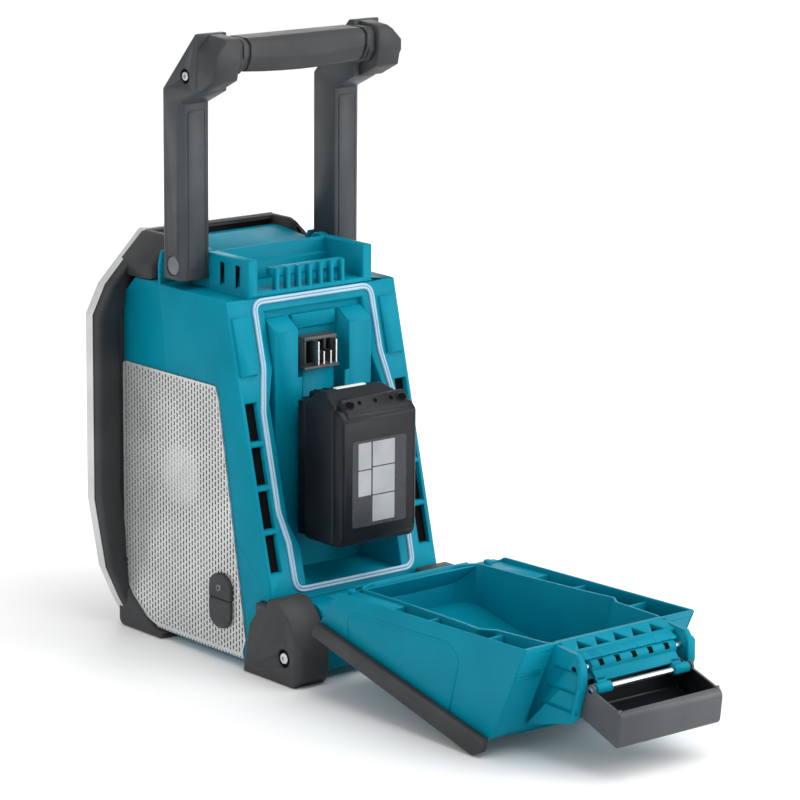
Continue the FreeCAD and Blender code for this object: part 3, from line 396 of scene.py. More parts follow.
def rounded_outline(points, radii, steps=6):
    """An outline with each corner turned into a curve of its own radius."""
    outline = []
    for here, point in enumerate(points):
        radius = radii[here] if isinstance(radii, (list, tuple)) else radii
        corner = Vector(point)
        back = Vector(points[here - 1]) - corner
        on = Vector(points[(here + 1) % len(points)]) - corner
        half = back.angle(on) / 2
        if radius < LEAST_RADIUS or half > OPEN_ANGLE:
            outline.append(tuple(corner))
            continue
        reach = min(radius / math.tan(half), back.length * MOST_REACH, on.length * MOST_REACH)
        start, end = corner + back.normalized() * reach, corner + on.normalized() * reach
        for step in range(steps + 1):
            part = step / steps
            outline.append(tuple(start * (1 - part) ** 2 + corner * 2 * part * (1 - part)
                                 + end * part ** 2))
    return outline


def mirrored(half):
    """Joins a right half, from (x, other) points, to its mirror image."""
    return half + [(-x, other) for x, other in reversed(half)]


def way_along(path, here):
    """The direction of a closed path at one of its points."""
    return (Vector(path[(here + 1) % len(path)]) - Vector(path[here - 1])).normalized()


def shifted(path, distance):
    """The path moved sideways in its own plane."""
    moved = []
    for here, (x, z) in enumerate(path):
        way = way_along(path, here)
        moved.append((x + way.y * distance, z - way.x * distance))
    return moved


def add_lip(work, path, lift, across, tall, steps):
    """Adds an oval rubber lip along a path on the sloping back."""
    rings = []
    for here, (x, z) in enumerate(path):
        way = way_along(path, here)
        ring = []
        for step in range(steps):
            angle = 2 * math.pi * step / steps
            side = math.cos(angle) * across
            ring.append(on_back(x + way.y * side, z - way.x * side, lift + math.sin(angle) * tall))
        rings.append(ring)
    add_skin(work, rings, looped=True)


seal_rubber = moulded("seal_rubber", (0.33, 0.49, 0.62), (0.40, 0.57, 0.70), 0.5, 1500, 0.00004)
# A darker copy of the seal rubber: painted shade in the valley between the lips.
valley_shade = moulded(
    "seal_valley_rubber", (0.10, 0.19, 0.27), (0.14, 0.25, 0.34), 0.7, 1500, 0.00004, 0.1)
half_radii = [9, 22, 30, 22, 22, 9]
seal_path = rounded_outline(
    mirrored([(59.5, 290.4), (59.5, 240), (66.2, 205), (66.2, 128), (60.6, 104), (60.0, 66.5)]),
    half_radii + half_radii[::-1], 7)
work = bmesh.new()
for offset in (LIP_OFFSET, -LIP_OFFSET):
    add_lip(work, shifted(seal_path, offset), LIP_LIFT, LIP_ACROSS, LIP_TALL, LIP_STEPS)
seal = to_mesh(work)
seal.shade_smooth()
as_piece("bay_seal", seal, "radio", seal_rubber, "seal", "door_seal")
work = bmesh.new()
add_lip(work, seal_path, VALLEY_LIFT, VALLEY_ACROSS, VALLEY_TALL, VALLEY_STEPS)
as_piece("seal_valley", to_mesh(work), "radio", valley_shade, "seal")


# Bay pockets
# Four deep pockets on each side of the bay core out the shell's moulding. Dark blocks
# stand for the shadow that fills them to a little under the back's slope.
POCKET_LOW, POCKET_HIGH, POCKET_PITCH = 82.3, 111.7, 34
POCKET_FLOOR, SHADOW_UNDER = 52.2, 4.5
work = bmesh.new()
for _, side in SIDES:
    for number in range(4):
        low, high = POCKET_LOW + number * POCKET_PITCH, POCKET_HIGH + number * POCKET_PITCH
        add_bar(work, "x", side * 71.2, side * 81.8, [
            (POCKET_FLOOR, low), (back_y(low) - SHADOW_UNDER, low),
            (back_y(high) - SHADOW_UNDER, high), (POCKET_FLOOR, high)])
as_piece("side_pocket_shadows", to_mesh(work), "radio", recess_shade, "dark")


# Front frame
# A thick flared bumper of black rubber-like plastic round the whole front. Its back
# slopes from the shell out to a rolled rim, and two lugs reach back beside the handle.
FRAME_CORNERS = [
    (82, 0, 0.6, 1), (96, 24.5, 0.8, 0.6), (108.8, 52, 0.9, 0.4), (119.5, 112, 1, 0.1),
    (119.5, 266, 1, -0.3), (107, 290, 0.9, -0.5), (65.3, 331, 0.4, -1)]
TOP_CORNERS = (6, 7)
FOOT_HALF = 91
WINDOW_HALF = [(60, 36), (78, 52), (78, 272), (66, 286)]


def frame_outline(inset):
    """Front view of the bumper: each corner is x, z and how an inset moves it in and up."""
    return mirrored([(x - inset * across, z + inset * up) for x, z, across, up in FRAME_CORNERS])


def frame_ring(side_profile, top_profile=None):
    """Sweeps a profile of (inset, y) pairs round the bumper's outline."""
    rings = []
    for corner in range(2 * len(FRAME_CORNERS)):
        ring = []
        for inset, y in top_profile if top_profile and corner in TOP_CORNERS else side_profile:
            x, z = frame_outline(inset)[corner]
            ring.append(at(x, y, z))
        rings.append(ring)
    return skin(rings, looped=True)


def hollowed(mesh, cutter):
    """A mesh with the shape of another cut out of it."""
    tool = in_scene(bpy.data.objects.new("tool", cutter))
    finished = worked(mesh, "BOOLEAN", operation="DIFFERENCE", object=tool, solver="EXACT")
    bpy.data.objects.remove(tool)
    return finished


rubber = moulded(
    "bumper_rubber", (0.030, 0.031, 0.033), (0.042, 0.044, 0.046), 0.55, 1900, 0.00012)
ring = frame_ring(
    [(2.2, -91), (1.6, -86), (1.0, -83), (1.8, -80), (4.6, -78.3), (8.5, -79.2), (27.5, -85.6),
     (28.5, -88.6), (33, -88.6), (33, -91)],
    [(2.2, -91), (1.6, -86), (1.0, -83), (1.4, -80), (2.8, -78.3), (5.0, -79.4), (6.4, -87.0),
     (28.5, -88.0), (33, -88.6), (33, -91)])
as_piece("front_bumper", bevelled(ring, 1.2), "radio", rubber, "rubber", "front_frame")
work = bmesh.new()
add_bar(work, "x", -FOOT_HALF, FOOT_HALF, [
    (-87.5, 0), (-33, 0), (-30, 2.5), (-30, 5.7), (-42, 5.7), (-55, 11.7), (-75, 26.7),
    (-87.5, 40.5), (-90.8, 40.5), (-90.8, 4)])
for _, side in SIDES:
    add_skin(work, [[at(side * x, y, z) for x, z in (
        (61.5 + draw_in * 0.5, 295.9), (88 - draw_in, 295.9), (88 - draw_in, 309 - draw_in * 0.6),
        (66 - draw_in * 0.2, 330.2 - draw_in), (61.5 + draw_in * 0.5, 330.2 - draw_in))]
        for y, draw_in in ((-88.5, 0), (-60, 0), (-52, 2.5), (-50, 6))])
as_piece("bumper_foot_and_lugs", bevelled(to_mesh(work), 1.8), "radio", rubber, "rubber")
web = hollowed(bars(("y", -90.9, -88.7, frame_outline(3))),
               bars(("y", -92, -87, mirrored(WINDOW_HALF))))
as_piece("bumper_web", web, "radio", rubber, "rubber")


# Front ring
# A silver painted trim that caps the bumper's front edge and wraps a little round it,
# so a bright line shows outside the black from behind.
silver = moulded(
    "silver_paint", (0.56, 0.57, 0.57), (0.64, 0.65, 0.65), 0.34, 1500, 0.00003, metal=0.35)
trim = frame_ring([
    (0.2, -84.5), (0.2, -93), (1.4, -95.3), (3.6, -96), (12, -96), (15, -94.6), (15.4, -91.1),
    (2.0, -91.1), (1.1, -84.5)])
as_piece("front_trim", bevelled(trim, 0.5), "radio", silver, "silver", "front_ring")


# Speaker grilles
# Sheet steel punched with upright slots in staggered rows and painted silver, cut to
# the shell's side, with a rolled ribbed hem below. The front grille is the same sheet.
SIDE_PITCH, SIDE_SLOT = (3.9, 5.0), (1.7, 3.9)
FRONT_PITCH, FRONT_SLOT = (4.6, 5.8), (1.9, 4.2)
SHEET_THICK, SIDE_SHEET_X, FRONT_SHEET_Y = 1.0, 86.9, -91.8
SHADE_BACKING_X, DOME_X, SPEAKER_CENTRE, SPEAKER_HOLE = (86.02, 86.2), 86.18, (-9, 142), 24
PORT_CENTRE, PORT_STRAIGHT, PORT_CLEAR = (47, 50), 9, 12.4
EDGE_OUT, EDGE_IN, EDGE_INSET, EDGE_MIDDLE = 87.5, 86.2, 0.015, (-5, 115)
HEM_START, HEM_PITCH, HEM_WIDE, HEM_RIBS = -42, 3.9, 2.5, 30
MM_IN_METRE, SLOT_CORNER, CELL_MERGE, CUT_REACH, AXIS_REACH = 1000, 0.6, 0.00002, 0.001, 0.02


def new_tree(name, inputs):
    """An empty geometry tree with named inputs, and its first and last nodes."""
    tree = bpy.data.node_groups.new(name, "GeometryNodeTree")
    tree.interface.new_socket("Geometry", in_out="INPUT", socket_type="NodeSocketGeometry")
    for word, kind in inputs:
        tree.interface.new_socket(word, in_out="INPUT", socket_type=kind)
    tree.interface.new_socket("Geometry", in_out="OUTPUT", socket_type="NodeSocketGeometry")
    return tree, tree.nodes.new("NodeGroupInput"), tree.nodes.new("NodeGroupOutput")


def add_copies(tree, points, item, **turns):
    """Adds the nodes that stand copies of an input object on points."""
    source = add_node(tree, "GeometryNodeObjectInfo", {"Object": item})
    copies = add_node(tree, "GeometryNodeInstanceOnPoints", {
        "Points": points, "Instance": source.outputs["Geometry"], **turns})
    return add_node(tree, "GeometryNodeRealizeInstances", {
        "Geometry": copies.outputs["Instances"]}).outputs["Geometry"]


def finish_tree(tree, shape, given, result):
    """Ends a tree by giving its shape the input material."""
    finish = add_node(tree, "GeometryNodeSetMaterial", {
        "Geometry": shape, "Material": given.outputs["Finish"]})
    tree.links.new(finish.outputs["Geometry"], result.inputs["Geometry"])
    return tree


def run_tree(tree, mesh, settings):
    """Carries out a geometry tree on a mesh, with its named inputs set."""
    holder = bpy.data.objects.new(tree.name, mesh)
    things = [holder] + [value for value in settings.values()
                         if isinstance(value, bpy.types.Object)]
    for thing in things:
        in_scene(thing)
    modifier = holder.modifiers.new(tree.name, "NODES")
    modifier.node_group = tree
    for socket in tree.interface.items_tree:
        if socket.in_out == "INPUT" and socket.name in settings:
            modifier[socket.identifier] = settings[socket.name]
    finished = evaluated(holder)
    for thing in things:
        bpy.data.objects.remove(thing)
    return finished


def slot_cell(pitch, slot):
    """One brick of the punched sheet: a frame of faces round an eight-cornered slot."""
    work = bmesh.new()
    x, y, a, b = (size / (2 * MM_IN_METRE) for size in (*pitch, *slot))
    c = min(a, b) * SLOT_CORNER
    outer = [work.verts.new((u, v, 0)) for u, v in (
        (x, 0), (x, y), (0, y), (-x, y), (-x, 0), (-x, -y), (0, -y), (x, -y))]
    inner = [work.verts.new((u, v, 0)) for u, v in (
        (a, b - c), (a - c, b), (c - a, b), (-a, b - c),
        (-a, c - b), (c - a, -b), (a - c, -b), (a, c - b))]
    for here in range(8):
        after = (here + 1) % 8
        work.faces.new((outer[here], outer[after], inner[here]))
        work.faces.new((outer[after], inner[after], inner[here]))
    bmesh.ops.recalc_face_normals(work, faces=work.faces)
    return to_mesh(work)


def make_punched_tree():
    """Stands cells in staggered columns and joins them into one punched sheet."""
    tree, given, result = new_tree("punched_sheet", [
        ("Cell", "NodeSocketObject"), ("Columns", "NodeSocketInt"), ("Rows", "NodeSocketInt"),
        ("Pitch Across", "NodeSocketFloat"), ("Pitch Up", "NodeSocketFloat"),
        ("Finish", "NodeSocketMaterial")])
    _, cell, columns, rows, across, up = list(given.outputs)[:6]

    def reckon(operation, *values):
        return add_node(tree, "ShaderNodeMath", dict(enumerate(values)),
                        operation=operation).outputs[0]

    sheet = add_node(tree, "GeometryNodeMeshGrid", {
        "Vertices X": columns, "Size X": reckon("MULTIPLY", reckon("SUBTRACT", columns, 1), across),
        "Vertices Y": rows, "Size Y": reckon("MULTIPLY", reckon("SUBTRACT", rows, 1), up)})
    index = add_node(tree, "GeometryNodeInputIndex").outputs["Index"]
    column = reckon("FLOOR", reckon("DIVIDE", reckon("ADD", index, 0.5), rows))
    rise = add_node(tree, "ShaderNodeCombineXYZ", {
        "Y": reckon("MULTIPLY", reckon("MULTIPLY", reckon("MODULO", column, 2), 0.5), up)})
    stagger = add_node(tree, "GeometryNodeSetPosition", {
        "Geometry": sheet.outputs["Mesh"], "Offset": rise.outputs["Vector"]})
    merged = add_node(tree, "GeometryNodeMergeByDistance", {
        "Geometry": add_copies(tree, stagger.outputs["Geometry"], cell), "Distance": CELL_MERGE})
    return finish_tree(tree, merged.outputs["Geometry"], given, result)


def punched_sheet(outline, pitch, slot):
    """A flat punched sheet cut to a convex outline, being made in millimetres (u, v)."""
    low_u, low_v = (min(places) for places in zip(*outline))
    high_u, high_v = (max(places) for places in zip(*outline))
    flat = run_tree(punched_tree, bpy.data.meshes.new("punched"), {
        "Cell": bpy.data.objects.new("cell", slot_cell(pitch, slot)),
        "Columns": int((high_u - low_u) / pitch[0]) + 3,
        "Rows": int((high_v - low_v) / pitch[1]) + 4,
        "Pitch Across": pitch[0] * MM, "Pitch Up": pitch[1] * MM, "Finish": silver})
    work = bmesh.new()
    work.from_mesh(flat)
    middle = Vector(((low_u + high_u) / 2, (low_v + high_v) / 2, 0))
    for corner in work.verts:
        corner.co = corner.co * MM_IN_METRE + middle
    for here, place in enumerate(outline):
        start, end = Vector((*place, 0)), Vector((*outline[(here + 1) % len(outline)], 0))
        outward = (end - start).cross(Vector((0, 0, 1)))
        if outward.dot(start - middle) < 0:
            outward = -outward
        bmesh.ops.bisect_plane(work, geom=work.verts[:] + work.edges[:] + work.faces[:],
                               plane_co=start, plane_no=outward, clear_outer=True, dist=CUT_REACH)
    return work


def place_sheet(work, put):
    """Moves a flat sheet into its place and gives it its thickness."""
    for corner in work.verts:
        corner.co = put(corner.co.x, corner.co.y)
    bmesh.ops.recalc_face_normals(work, faces=work.faces)
    return worked(to_mesh(work), "SOLIDIFY", thickness=SHEET_THICK * MM, offset=0)


def open_port(work):
    """Takes the sheet away where the port cover's long round frame sits."""
    spare = []
    for face in work.faces:
        middle = face.calc_center_median()
        up = max(0, abs(middle.y - PORT_CENTRE[1]) - PORT_STRAIGHT)
        if math.hypot(middle.x - PORT_CENTRE[0], up) < PORT_CLEAR:
            spare.append(face)
    bmesh.ops.delete(work, geom=spare, context="FACES")


def make_set_out_tree():
    """Stands copies of an item on points, each turned to its point's facing."""
    tree, given, result = new_tree(
        "set_out", [("Item", "NodeSocketObject"), ("Finish", "NodeSocketMaterial")])
    facing = add_node(tree, "GeometryNodeInputNamedAttribute", data_type="FLOAT_VECTOR")
    facing.inputs["Name"].default_value = "facing"
    turn = add_node(tree, "FunctionNodeAlignRotationToVector", {
        "Vector": facing.outputs["Attribute"]}, axis="Z")
    items = add_copies(tree, given.outputs["Geometry"], given.outputs["Item"],
                       Rotation=turn.outputs["Rotation"])
    return finish_tree(tree, items, given, result)


def set_out(item, places, facings):
    """Copies of one small item stood at each place, in millimetres, and turned to its facing."""
    cloud = bpy.data.meshes.new("places")
    cloud.from_pydata([at(*place) for place in places], [], [])
    facing = cloud.attributes.new("facing", "FLOAT_VECTOR", "POINT")
    for index, spot in enumerate(facing.data):
        spot.vector = facings[index % len(facings)]
    return run_tree(set_out_tree, cloud, {
        "Item": bpy.data.objects.new("item", item), "Finish": silver})


def turned(profile, segments=20):
    """A turned item about its own upright axis, from (radius, height) pairs in millimetres."""
    angles = [2 * math.pi * step / segments for step in range(segments)]
    rings = []
    for radius, height in profile:
        reach = max(radius, AXIS_REACH)
        rings.append([(reach * math.cos(angle) * MM, reach * math.sin(angle) * MM, height * MM)
                      for angle in angles])
    return smoothed(skin(rings))


def circle(u, v, radius, steps=24):
    return [(u + radius * math.cos(2 * math.pi * step / steps),
             v + radius * math.sin(2 * math.pi * step / steps)) for step in range(steps)]


punched_tree = make_punched_tree()
set_out_tree = make_set_out_tree()
side_outline = rounded_outline([
    (-87, 43), (-75, 28), (-55, 13), (-42, 9), (72, 9), (77, 23), (42, 213), (38, 224), (-87, 224)],
    [3, 2, 2, 2, 2, 2, 2, 2, 4], 2)
edge_outline = [(u * (1 - EDGE_INSET) + EDGE_MIDDLE[0] * EDGE_INSET,
                 v * (1 - EDGE_INSET) + EDGE_MIDDLE[1] * EDGE_INSET) for u, v in side_outline]
for word, side in SIDES:
    work = punched_sheet(side_outline, SIDE_PITCH, SIDE_SLOT)
    if side > 0:
        open_port(work)
    sheet = place_sheet(work, lambda u, v: at(side * SIDE_SHEET_X, u, v))
    as_piece("side_grille_sheet_" + word, sheet, "radio", silver, "silver", "side_grille_" + word)
    # A dark sheet just behind each grille, with a hole at the dome, is painted shade seen through
    # the slots.
    shade_backing = bars(("x", side * SHADE_BACKING_X[0], side * SHADE_BACKING_X[1], side_outline))
    hole = bars(("x", side * 84, side * 88, circle(*SPEAKER_CENTRE, SPEAKER_HOLE)))
    as_piece("side_cloth_" + word, hollowed(shade_backing, hole), "radio", recess_shade, "dark")
    edge = skin([[at(side * x, *place) for x, place in (
        (EDGE_OUT, outer), (EDGE_OUT, inner), (EDGE_IN, inner), (EDGE_IN, outer))]
        for outer, inner in zip(side_outline, edge_outline)], looped=True)
    as_piece("side_grille_edge_" + word, edge, "radio", silver, "silver")
    dome = turned([(26, 0), (21, 0.25), (15, 0.5), (8, 0.6), (0, 0.62)], 32)
    set_dome = set_out(dome, [(side * DOME_X, *SPEAKER_CENTRE)], [Vector((side, 0, 0))])
    as_piece("side_dome_" + word, set_dome, "radio", silver, "cone")
    rib = [(side * x, z) for x, z in (
        (87.4, 11.5), (86.9, 7.2), (84.5, 6.2), (84.5, 7.2), (86.2, 8.2), (86.4, 11.5))]
    starts = [HEM_START + number * HEM_PITCH for number in range(HEM_RIBS)]
    as_piece("side_grille_hem_" + word, bars(*(("y", y, y + HEM_WIDE, rib) for y in starts)),
             "radio", silver, "silver")
front_outline = mirrored([(68, 22), (79.5, 30), (91.5, 56), (102.5, 112), (102.5, 207)])
sheet = place_sheet(punched_sheet(front_outline, FRONT_PITCH, FRONT_SLOT),
                    lambda u, v: at(u, FRONT_SHEET_Y, v))
as_piece("front_grille_sheet", sheet, "radio", silver, "silver", "front_grille")


# Battery door
# A deep teal tray moulded in one piece, hung at the foot of the back. Its inner wall
# closes over the battery, and ribs tie that wall to the outer sides.
RIM_NEAR, RIM_FAR = (189.7, 87.7), (409.5, 92.7)
DOOR_LOW_NEAR, DOOR_LOW_FAR = (166.2, 53.8), (360.3, 9.9)
DOOR_SIDE, DOOR_HALF, RIB_END, RIB_LOW = 86, 85, 84.5, 26
POCKET_MIDDLE, POCKET_WALL, POCKET_UNDER, POCKET_DRAFT = 292, 2.4, 1.5, 0.82
POCKET_START, POCKET_LIFT, POCKET_SLANT, POCKET_TURN = 178, 2.5, 0.7, 0.004


def height_on(start, end, y):
    """How high the straight side view line from start to end is at y."""
    return start[1] + (y - start[0]) * (end[1] - start[1]) / (end[0] - start[0])


def rim_at(y):
    return height_on(RIM_NEAR, RIM_FAR, y)


def under_rim(*places):
    """Side view points from pairs of a place along the door and a depth under its rim."""
    return [(y, rim_at(y) - depth) for y, depth in places]


def inward(path, distance):
    """The closed path drawn in towards its middle."""
    moved = []
    for here, point in enumerate(path):
        way = way_along(path, here)
        across = Vector((way.y, -way.x))
        if across.dot(Vector((0, POCKET_MIDDLE)) - Vector(point)) < 0:
            across = -across
        moved.append((point[0] + across.x * distance, point[1] + across.y * distance))
    return moved


def pocket_foot(point):
    """Where the pocket's wall meets the tray's floor, drawn in along the door."""
    y = POCKET_START + (point[1] - POCKET_START) * POCKET_DRAFT
    return at(point[0], y, height_on(DOOR_LOW_NEAR, DOOR_LOW_FAR, y) + POCKET_LIFT)


def add_raised_line(work, path, side):
    """A raised line moulded on the door's side, along (y, z) points."""
    rings = []
    for here, point in enumerate(path):
        before, after = path[max(here - 1, 0)], path[min(here + 1, len(path) - 1)]
        way = (Vector(after) - Vector(before)).normalized()
        rings.append([at(side * (DOOR_SIDE + out), point[0] - way.y * off, point[1] + way.x * off)
                      for off, out in ((1.3, -0.3), (0.65, 0.45), (-0.65, 0.45), (-1.3, -0.3))])
    add_skin(work, rings)


work = bmesh.new()
side_profile = rounded_outline(
    [DOOR_LOW_NEAR, DOOR_LOW_FAR, (373.4, 17.4), RIM_FAR, RIM_NEAR], [3, 5, 4, 2, 10], 5)
for _, side in SIDES:
    add_bar(work, "x", side * 83.7, side * DOOR_SIDE, side_profile)
for half, outline in (
        (DOOR_HALF, [DOOR_LOW_NEAR, DOOR_LOW_FAR, (361.2, 13.8), (167.1, 57.8)]),
        (DOOR_HALF, [(360.8, 10.2), (373.2, 17.4), (409.3, 92.5), (405.6, 92.4), (370.2, 20),
                     (360, 14)]),
        (58, [(166.4, 54), (176.9, 85.2), (180, 85.2), (170.5, 56)]),
        (DOOR_HALF, [(166.4, 54), (187, 85), (190, 85), (170, 55)])):
    add_bar(work, "x", -half, half, outline)
for _, side in SIDES:
    for y, start in ((246, 63.5), (290, 66.5), (358, 62.5), (398, 61)):
        top, low = rim_at(y) - 3.4, rim_at(y) - RIB_LOW
        add_bar(work, "x", side * start, side * RIB_END, [
            (y - 1.3, top), (y + 1.3, top), (y + 1.3, low), (y - 1.3, low)])
    for start, outline in (
            (62, under_rim((180, 3.6), (246, 3.6), (246, 6)) + [(178, rim_at(180) - 6)]),
            (58.5, under_rim((398, 3.6), (407, 1.2), (407, 6), (398, 6))),
            (70.5, under_rim((246, 24), (345, 24), (345, RIB_LOW), (246, RIB_LOW))),
            (63, under_rim((345, 24), (400, 24), (400, RIB_LOW), (345, RIB_LOW)))):
        add_bar(work, "x", side * start, side * RIB_END, outline)
    add_bar(work, "z", rim_at(185) - 5, rim_at(185) - 0.2, circle(side * 70, 189, 3.2, 16))
as_piece("door_tray_sides", bevelled(to_mesh(work), 0.9), "door", teal, "teal", "door_tray")
half = [(0, 407.6), (57.5, 407.2), (60.5, 372), (62, 350), (70, 338), (67, 311), (62.5, 237),
        (61, 186), (42, 178.6), (0, 177.8)]
radii = [0, 12, 20, 8, 8, 30, 30, 18, 20, 0]
outer_line = rounded_outline(
    half + [(-x, y) for x, y in half[-2:0:-1]], radii + radii[-2:0:-1], 6)
rings = []
for outside, inside in zip(outer_line, inward(outer_line, POCKET_WALL)):
    top_out, top_in = rim_at(outside[1]) - POCKET_UNDER, rim_at(inside[1]) - POCKET_UNDER
    rings.append([
        pocket_foot(outside), at(*outside, top_out - POCKET_SLANT),
        at(outside[0] * 0.994, outside[1] + (POCKET_MIDDLE - outside[1]) * POCKET_TURN, top_out),
        at(inside[0] * 1.006, inside[1] - (POCKET_MIDDLE - inside[1]) * POCKET_TURN, top_in),
        at(*inside, top_in - POCKET_SLANT), pocket_foot(inside)])
as_piece("door_pocket_wall", smoothed(skin(rings, looped=True), 35), "door", teal, "teal")
line = rounded_outline(
    [(205, 55), (203.5, 71.5), (216, 76), (324, 78), (335, 68), (325, 24)],
    [0, 5, 6, 10, 10, 0], 5)
work = bmesh.new()
for _, side in SIDES:
    add_raised_line(work, line, side)
emboss = to_mesh(work)
emboss.shade_smooth()
as_piece("door_side_lines", emboss, "door", teal, "teal")


# Door brackets
# Two thick teal plates at the tray's far end carry the latch's pin, stiffened by a
# flange and three ribs. Two eyes at the near end turn on the hinge pins.
BRACKET_X, FLANGE_X, EYE_X, HINGE_PLACE = (51.4, 56.6), (50.6, 58.4), (40.3, 52), (151, 50)
work = bmesh.new()
bracket = rounded_outline(
    [(403.5, 91.7), (433, 88.7), (438.1, 82), (438.1, 65), (430, 35.6), (377.4, 22.4)],
    [1, 5, 5, 6, 8, 1], 3)
for _, side in SIDES:
    for (low, high), outline in (
            (BRACKET_X, bracket),
            (FLANGE_X, [(435.4, 84), (438.7, 81), (438.7, 65), (435.4, 65)]),
            ((50.7, 58.3), [(435.4, 66), (438.6, 66), (431, 38), (428, 40)]),
            (EYE_X, circle(*HINGE_PLACE, 5.9, 20)),
            (EYE_X, [(150, 44.3), (170, 52.8), (173, 61.5), (150, 55.7)])):
        add_bar(work, "x", side * low, side * high, outline)
    for z, start in ((77, 409), (61, 402), (46, 395)):
        add_bar(work, "x", side * 56, side * 58, [
            (start, z), (435, z - 1.5), (435, z - 3), (start, z - 1.5)])
as_piece("door_brackets", bevelled(to_mesh(work), 0.8), "door", teal, "teal")


# Door shelf
# A thin teal shelf between the brackets, moulded with the tray. Its edge is cut into
# teeth with rounded noses, which stand behind the latch's link.
SHELF_HALF, TOOTH_PITCH, END_DRAW = 51.8, 18.4, 0.93
shelf = bars(("x", -SHELF_HALF, SHELF_HALF, [
    (403, 91.8), (409, 92), (423.5, 87.5), (423.5, 84.8), (407, 87.6), (403, 87)]))
gaps = bars(*(("z", 80, 96, [(x - 6.5, 420.5), (x + 6.5, 420.5), (x, 410.5)])
              for x in (TOOTH_PITCH * number for number in range(-2, 3))))
as_piece("door_shelf", bevelled(hollowed(shelf, gaps), 0.4), "door", teal, "teal")
work = bmesh.new()
for number in range(6):
    middle = (number - 2.5) * TOOTH_PITCH
    if number in (0, 5):
        middle *= END_DRAW
    add_bar(work, "x", middle - 3.2, middle + 3.2, [
        (423, 87.3), (426, 85.8), (431, 83.3), (431, 82.3), (425.4, 82.3), (423, 83.6)])
add_bar(work, "x", -47, 47, [
    (422.6, 87.4), (430.4, 83.6), (430.4, 82.3), (425.4, 82.3), (425.4, 81.4), (422.6, 83.2)])
as_piece("door_shelf_ends", bevelled(to_mesh(work), 0.6), "door", teal, "teal")


# Door bumpers
# Two bars of the same black plastic as the front frame, clipped along the tray's lower
# edges. They keep the shapes of their solids, with the edges rounded.
for word, _ in SIDES:
    node = "bumper_" + word
    as_piece("door_" + node, rounded(node, 1.4), "door", rubber, "rubber", node)


# Latch
# A teal link turns on a pin in the door's brackets and carries a cupped dark lever,
# which hooks into the catch on the shell's top when the door is shut.
LINK_PIN, LEVER_PIN, LINK_THICK = (430, 77), (441.8, 63.2), 3.2
NOTCH_PITCH, CUP_HALF, CUP_INSIDE = 16.5, 50.8, 48.4
CUP_REACH, CUP_FRONT, CUP_REAR, CUP_DEEP = 0.0486, 440, 472, 0.048


def link_band(start, end):
    """The link's plate in side view, between two distances from its pin."""
    along = (Vector(LEVER_PIN) - Vector(LINK_PIN)).normalized()
    half = Vector((-along.y, along.x)) * LINK_THICK / 2
    first, last = Vector(LINK_PIN) + along * start, Vector(LINK_PIN) + along * end
    return [tuple(first + half), tuple(last + half), tuple(last - half), tuple(first - half)]


def shaded_in_cup(face):
    """Tells a face of the cup's hollow by where it is and which way it faces. These
    faces are painted near-black as shade.
    """
    middle, facing = face.center, face.normal
    side_wall = middle.x * facing.x < 0 and abs(facing.x) > 0.7 and abs(middle.x) < CUP_REACH
    long_wall = abs(middle.x) < CUP_INSIDE * MM and facing.z > -0.6 and (
        (facing.y > 0.4 and middle.y < at(0, CUP_FRONT, 0).y)
        or (facing.y < -0.4 and middle.y < at(0, CUP_REAR, 0).y)
        or (facing.z > 0.5 and middle.z < CUP_DEEP))
    return side_wall or long_wall


slate = moulded("slate_plastic", (0.060, 0.065, 0.071), (0.078, 0.083, 0.089), 0.40)
pack_black = moulded(
    "pack_plastic", (0.007, 0.008, 0.010), (0.011, 0.013, 0.016), 0.36, shine=0.22)
work = bmesh.new()
add_bar(work, "x", -42.8, 42.8, circle(*LINK_PIN, 4.9))
add_bar(work, "x", -42, 42, link_band(2, 13.2))
for _, side in SIDES:
    add_bar(work, "x", side * 33, side * 42.4, link_band(10, 18))
    add_bar(work, "x", side * 31.5, side * 46.6, circle(*LEVER_PIN, 4.2, 20))
as_piece("latch_link_plate", bevelled(to_mesh(work), 0.5),
         "latch_link", teal, "teal", "latch_link")
# The link's notches are dark bars: painted shade inside them.
notches = bars(*(("x", x - 2.2, x + 2.2, [
    (427.5, 80.6), (432.5, 81.9), (435.2, 78.4), (434.2, 75.6), (431, 78)])
    for x in (NOTCH_PITCH * number for number in range(-2, 3))))
as_piece("latch_link_notches", notches, "latch_link", recess_shade, "teal")
cup = bars(("x", -CUP_HALF, CUP_HALF, rounded_outline(
    [(429.6, 67.6), (427.5, 42.4), (474, 24.6), (476.9, 51.9)], [1.5, 3, 5, 7], 5)))
hollow = bars(("x", -CUP_INSIDE, CUP_INSIDE, rounded_outline(
    [(431.6, 74), (430.2, 45), (468.6, 30.4), (471.6, 60)], [0, 2, 3, 0], 3)))
lever = bevelled(hollowed(cup, hollow), 0.6)
as_piece("latch_cup", lever, "latch_lever", slate, "dark", "latch_lever")
# Faces inside the cup take the near-black pack plastic as painted shade.
lever.materials.append(pack_black)
for face in lever.polygons:
    if shaded_in_cup(face):
        face.material_index = 1
work = bmesh.new()
for _, side in SIDES:
    add_bar(work, "x", side * 48.2, side * 50.7, circle(*LEVER_PIN, 4.1, 20))
    add_bar(work, "x", side * 47.5, side * 51.2, [
        (469.5, 50.5), (472.5, 51.5), (472.5, 55.2), (469.5, 54.5)])
as_piece("latch_cup_lugs", bevelled(to_mesh(work), 0.5), "latch_lever", slate, "dark")


